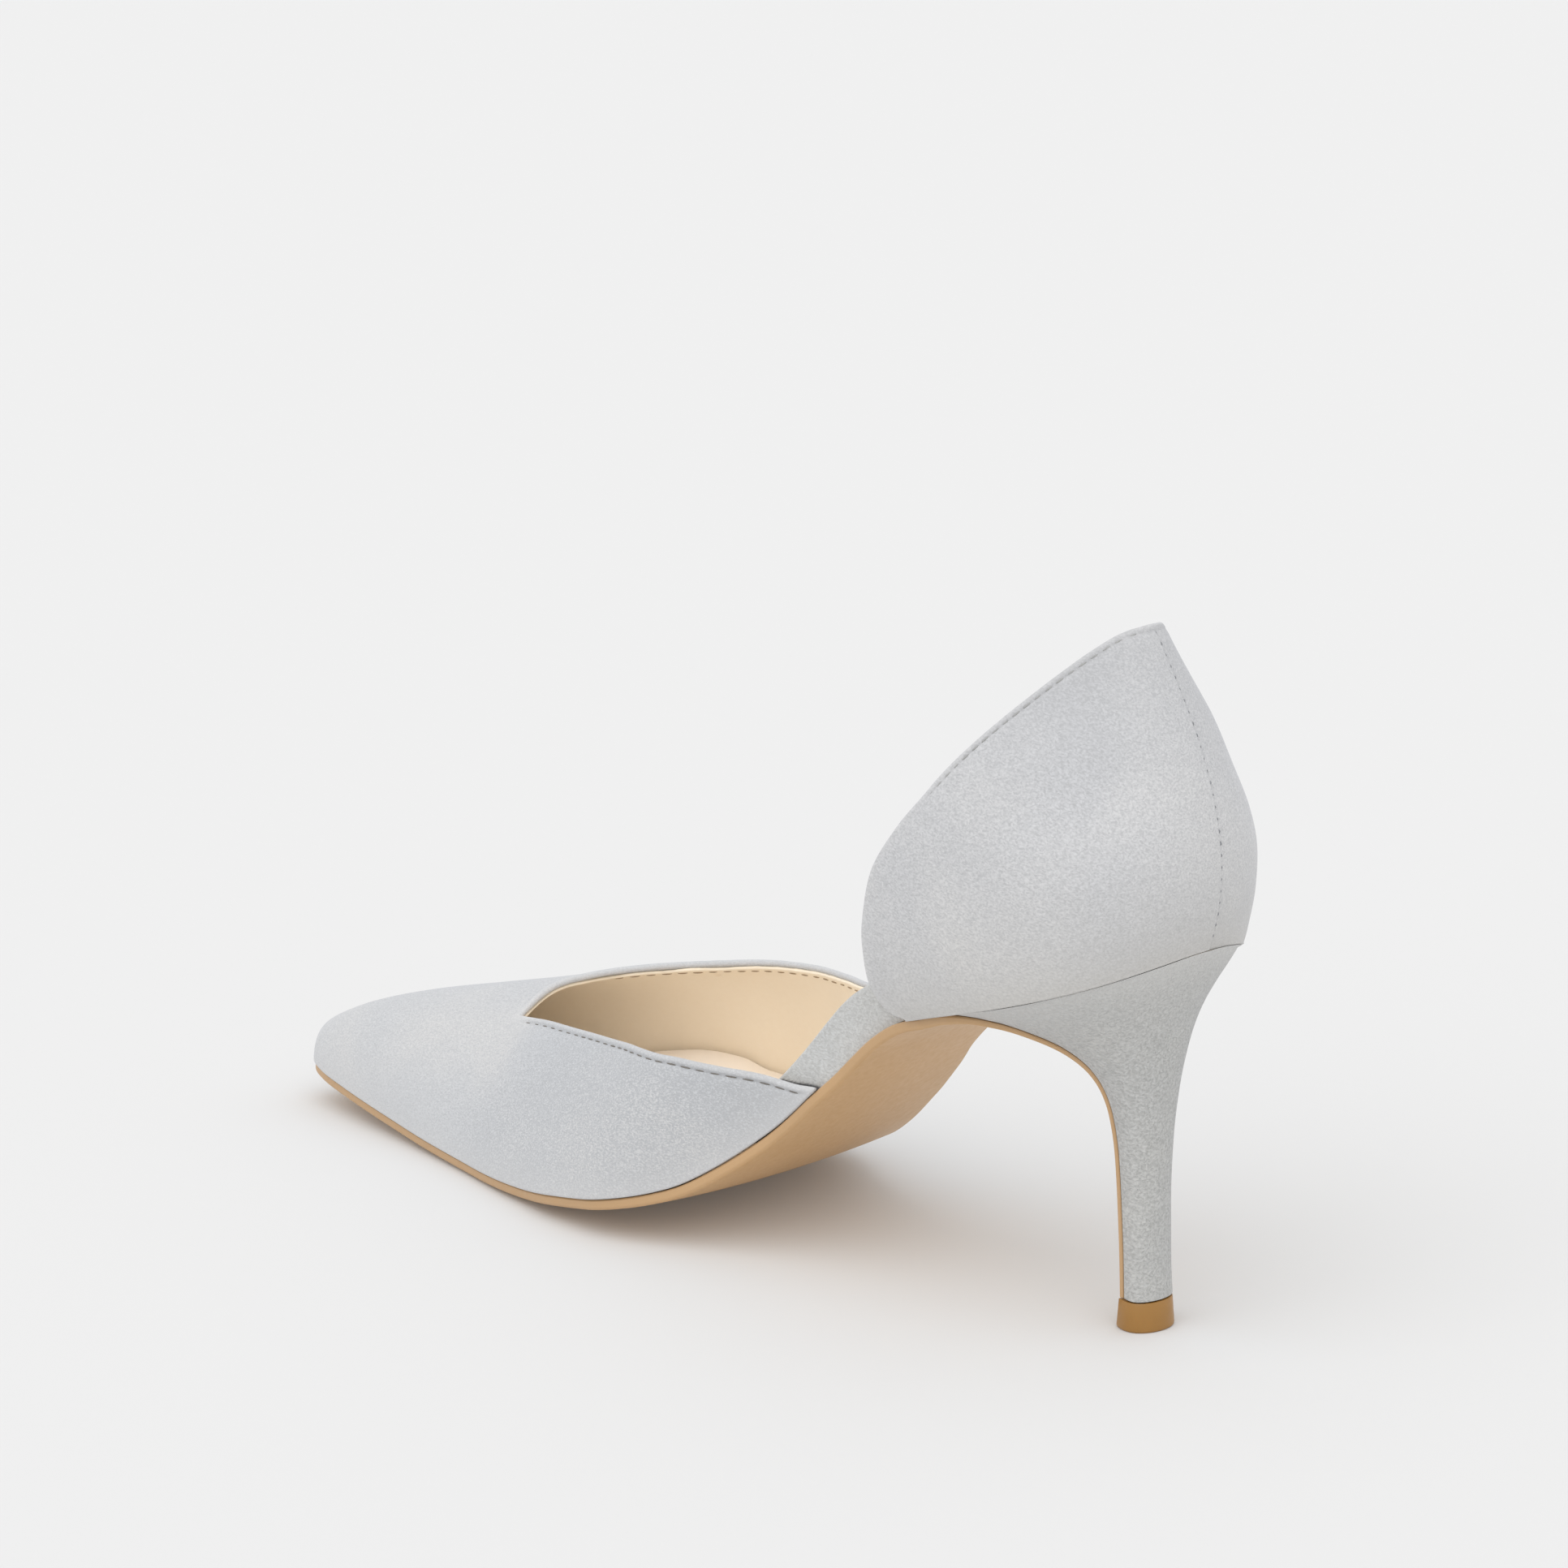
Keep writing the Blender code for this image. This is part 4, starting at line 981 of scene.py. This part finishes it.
def insoleHalf(x, side, lift, span=0.4):
    room = last["wall"] + last["gap"] + strip["setting"]
    if x <= last["wingX"]:
        lean = (upperHalf(min(x + span, last["toeX"])) - upperHalf(max(x - span, last["seatBack"]))) / (2 * span)
        half = upperHalf(x) - room * math.hypot(1.0, lean)
    else:
        outer = vampHalf(x, side, lift)
        taper = (outer - vampHalf(x - span, side, lift)) / span
        lean = (vampHalf(x, side, lift + span) - outer) / span
        half = outer - room * math.hypot(1.0, taper, lean)
    half = min(half, stripOuter(x) - (strip["thickness"] + last["gap"]) * stripWindow(x))
    return max(half, last["narrowest"])


def makeInsole():
    back, front, reach = insole["padding"][0][0], insole["front"], insole["endReach"]
    turn = np.linspace(0, 1, insole["endStations"])
    middle = np.linspace(back + reach, front - reach, insole["stations"])[:-1]
    places = np.concatenate((back + reach * turn[:-1] ** 2, middle, front - reach * (1 - turn) ** 2))
    rings = []
    for x in places:
        top, dish = insoleThick(x), insoleDish(x)
        low = {s: insoleHalf(x, s, last["gap"]) for s in (1, -1)}
        high = {s: insoleHalf(x, s, top) for s in (1, -1)}
        soft = min(insole["round"], high[1] / 2, high[-1] / 2, top / 3)
        profile = []
        for s in (1, -1):
            half = [(s * low[s], last["gap"]), (s * high[s], top - soft)]
            shoulder = arc(high[s] - soft, top - soft, soft, [math.pi / 2 * i / 4 for i in range(1, 5)])
            half += [(s * y, z) for y, z in shoulder]
            for i in range(1, 10):
                across = 1 - i / 10
                half.append((s * (high[s] - soft) * across, top - dish * (1 - across * across)))
            profile += half if s > 0 else [(0.0, top - dish)] + half[::-1]
        rings.append([overFeather(x, featherMid(x) + y, lift) for y, lift in profile])
    piece = addPiece("insoleSock", *loftRings(rings), leather["insole"], "insole_leather", "insole", 60)


makeInsole()
print("waist strips and insole made")

# outsole: runs from the toe through the waist and down the breast of the heel
outsole = {
    "thickness": 2.0, "inset": 0.6, "edgeRound": 0.75, "topRound": 0.25, "breastStart": 62.0,
    "spacing": 1.5, "toeReach": 18.0, "toeStations": 24, "breastStations": 64,
    # the edge comes out flush with the wings of the vamp
    "flush": 0.35, "flushBack": (85.0, 92.0), "flushFront": (112.0, 134.0),
    # how far the side of the edge is drawn darker, a painted shade, round one ring from its top
    "edgeShade": [1] + [0] * 7 + [1, 1] + [1, 0.95, 0.8, 0.5, 0.2, 0] + [0] * 13 + [0, 0.2, 0.5, 0.8, 0.95, 1] + [1],
    # x, how far the tread side bulges in the middle
    "crown": [
        (62, 0.6), (100, 0.7), (118, 1.0), (136, 2.6), (152, 3.4), (176, 1.2), (192, 1.4), (212, 0.9), (239.5, 0.1)],
    # face x, face z, half width, thickness, back x, back z, half width of the heel behind it
    "breast": [
        (62, 51.0, 18.4, 2, 9.0, 73.5, 22), (56, 53.0, 18.8, 1.7, 9.6, 72.6, 21.9),
        (51, 53.8, 17.6, 1.3, 10.6, 70.8, 21.3), (47, 53.2, 15, 1.1, 12, 68.2, 19.2),
        (42, 51.5, 11.5, 1, 14, 64.4, 15.4), (37, 49.2, 8.6, 1, 16, 60.4, 12),
        (33, 46.3, 6.9, 1, 17.7, 55.6, 9.2), (30.8, 43, 5.9, 1, 19, 50.2, 7.4), (29.5, 39, 5.3, 1, 20.1, 44.2, 6.2),
        (28.7, 32, 4.7, 1, 21.1, 35.2, 5.2), (28.2, 22, 4.5, 1, 21.7, 24, 4.8), (27.9, 12, 4.4, 1, 21.8, 12.6, 4.8),
        (27.8, 5.7, 4.4, 1, 21.5, 5.7, 4.9)],
}
crownDrop = curvesOf(outsole["crown"])[0]
breastSteps = [math.hypot(b[0] - a[0], b[1] - a[1]) for a, b in zip(outsole["breast"], outsole["breast"][1:])]
breastRun = np.concatenate(([0.0], np.cumsum(breastSteps)))
breastCurves = [smoothCurve(breastRun, [row[c] for row in outsole["breast"]]) for c in range(7)]


def breastAt(run):
    return [curve(run) for curve in breastCurves]


def breastNormal(run, span=0.5):
    ahead, behind = breastAt(min(run + span, breastRun[-1])), breastAt(max(run - span, 0.0))
    dx, dz = ahead[0] - behind[0], ahead[1] - behind[1]
    size = math.hypot(dx, dz)
    return dz / size, -dx / size


def soleRing(x, z, normal, middle, half, thick, crown):
    nx, nz = normal
    r = min(outsole["edgeRound"], half / 3, thick * 0.45)
    top = min(outsole["topRound"], thick * 0.2, half / 4)
    side = [(half, thick - top)] + arc(half - r, r, r, [-math.pi / 2 * i / 5 for i in range(6)])
    profile = [((half - top) * a, thick) for a in np.linspace(-1, 1, 9)] + side
    profile += [((half - r) * a, -crown * (1 - a * a)) for a in np.linspace(1, -1, 15)[1:-1]]
    profile += [(-y, lift) for y, lift in side[::-1]]
    # the tread is flat where it meets the floor
    return [(x + nx * lift, middle + y, max(z + nz * lift, 0.0) if lift <= 0 else z + nz * lift) for y, lift in profile]


def makeOutsole():
    back, front, reach = outsole["breastStart"], last["toeX"] - outsole["inset"], outsole["toeReach"]
    turn = np.linspace(0, 1, outsole["toeStations"])
    places = np.concatenate((np.arange(back + 1.2, front - reach, outsole["spacing"]), front - reach * (1 - turn) ** 2))
    rings = []
    for x in places[::-1]:
        atWing = smoothStep(x, *outsole["flushBack"]) * (1 - smoothStep(x, *outsole["flushFront"]))
        flush = (upperHalf(x) - featherHalf(x) + outsole["flush"]) * atWing
        half = max(featherHalf(x) - outsole["inset"] + flush, last["narrowest"])
        faceX, middle, faceZ = overFeather(x, featherMid(x), -outsole["thickness"])
        rings.append(soleRing(faceX, faceZ, featherNormal(x), middle, half, outsole["thickness"], crownDrop(x)))
    for run in np.linspace(0, breastRun[-1], outsole["breastStations"]):
        row = breastAt(run)
        fade = outsole["crown"][0][1] * (1 - run / breastRun[-1])
        rings.append(soleRing(row[0], row[1], breastNormal(run), 0.0, row[2], row[3], fade))
    piece = addPiece("outsoleLeather", *loftRings(rings), leather["sole"], "sole_leather", "outsole", 40)
    setAttribute(piece, "edge", outsole["edgeShade"] * len(rings))


makeOutsole()

# heel and top piece: D-shaped sections, flat to the breast and round behind
heel = {
    "lipX": 53.6, "lipHalf": 19.0, "seatInset": -0.1, "seatGap": 0.05, "seatFlare": 0.4, "seatFade": 4.5,
    "middle": 0.55, "stations": 70, "roundSteps": 18, "sideSteps": (0.0, 0.15, 0.3, 0.45, 0.6, 0.75, 0.9, 1.0),
}
tip = {
    # height, front, back, half width at the front, widest half width
    "rows": [
        (5.4, 27.9, 21.3, 4.1, 5.0), (5.25, 28.0, 21.2, 4.2, 5.1), (2.8, 28.15, 21.05, 4.35, 5.25),
        (0.5, 28.3, 20.9, 4.5, 5.4), (0.15, 28.22, 20.98, 4.42, 5.32), (0.0, 28.0, 21.2, 4.2, 5.1)],
}


def dRing(front, back, frontHalf, widest):
    front, back = np.array(front, float), np.array(back, float)
    outline = []
    for i in range(heel["roundSteps"]):
        a = math.pi / 2 * i / heel["roundSteps"]
        outline.append((heel["middle"] * (1 - math.cos(a)), widest * math.sin(a)))
    for u in heel["sideSteps"]:
        outline.append((heel["middle"] + (1 - heel["middle"]) * u, widest + (frontHalf - widest) * u * u))
    ring = []
    for depth, y in outline + [(d, -y) for d, y in outline[:0:-1]]:
        x, z = back + (front - back) * depth
        ring.append((x, y, z))
    return ring


def makeHeel():
    back = last["seatBack"] + heel["seatInset"]
    seat = dRing((heel["lipX"], 0.0), (back, 0.0), heel["lipHalf"], outsole["breast"][1][6] + heel["seatFlare"])
    rings = [[(x, y, featherZ(x) - heel["seatGap"]) for x, y, z in seat]]
    for run in np.linspace(breastRun[2], breastRun[-1], heel["stations"])[1:]:
        row = breastAt(run)
        nx, nz = breastNormal(run)
        reach = row[3] + last["gap"]
        rings.append(dRing((row[0] + nx * reach, row[1] + nz * reach), (row[4], row[5]), row[2], row[6]))
    points, faces = loftRings(rings)
    piece = addPiece("heelCover", points, faces, suede["heel"], "heel_suede", "heel", 45)
    # the heel's colour moves to its hem tone near the seat, lighter there
    setAttribute(piece, "hem", [math.exp(-max(featherZ(x) - z, 0.0) / heel["seatFade"]) for x, y, z in points])
    rings = [dRing((front, z), (rear, z), frontHalf, half) for z, front, rear, frontHalf, half in tip["rows"]]
    addPiece("topPiece", *loftRings(rings), leather["tip"], "top_piece_plastic", "top_piece", 50)


makeHeel()
print("outsole and heel made")

# pale floor, soft even light, camera
studio = {
    "floor": (0.69, 0.69, 0.69), "glow": 0.042, "world": 0.90,
    "sun": 1.13, "softness": 70.0, "sunFrom": (-0.28, 0.55, 0.96),
}
bpy.ops.mesh.primitive_plane_add(size=20.0, location=(0, 0, 0))
floor = bpy.context.object
floor.name = "studioFloor"
floorLook = {
    "Roughness": 0.9, "Specular IOR Level": 0.1, "Base Color": studio["floor"],
    "Emission Color": (1.0, 1.0, 1.0), "Emission Strength": studio["glow"],
}
floor.data.materials.append(startMaterial("floorPaint", floorLook)[0])
world = bpy.data.worlds.new("studio")
world.use_nodes = True
world.node_tree.nodes["Background"].inputs["Color"].default_value = (1.0, 1.0, 1.0, 1.0)
world.node_tree.nodes["Background"].inputs["Strength"].default_value = studio["world"]
bpy.context.scene.world = world
sunData = bpy.data.lights.new("keyLight", "SUN")
sunData.energy = studio["sun"]
sunData.angle = math.radians(studio["softness"])
sun = bpy.data.objects.new("keyLight", sunData)
sun.rotation_euler = Vector(studio["sunFrom"]).to_track_quat("Z", "Y").to_euler()
bpy.context.scene.collection.objects.link(sun)

view = {
    "place": (-1.036502, 1.007016, 0.456666), "azimuth": 225.675, "elevation": 14.574, "roll": -0.742, "lens": 187.39,
}
az, el, roll = (math.radians(view[key]) for key in ("azimuth", "elevation", "roll"))
back = Vector((math.sin(az) * math.cos(el), -math.cos(az) * math.cos(el), math.sin(el)))
right = Vector((math.cos(az), math.sin(az), 0.0))
up = back.cross(right)
camera = bpy.data.objects.new("camera", bpy.data.cameras.new("camera"))
camera.data.lens, camera.data.sensor_width = view["lens"], 36.0
camera.data.clip_start, camera.data.clip_end = 0.05, 30.0
turned = (right * math.cos(roll) + up * math.sin(roll), up * math.cos(roll) - right * math.sin(roll), back)
camera.matrix_world = Matrix.Translation(view["place"]) @ Matrix(turned).transposed().to_4x4()
bpy.context.scene.collection.objects.link(camera)
bpy.context.scene.camera = camera
bpy.context.scene.view_settings.view_transform = "Standard"
bpy.context.scene.view_settings.look = "None"
print("studio set")
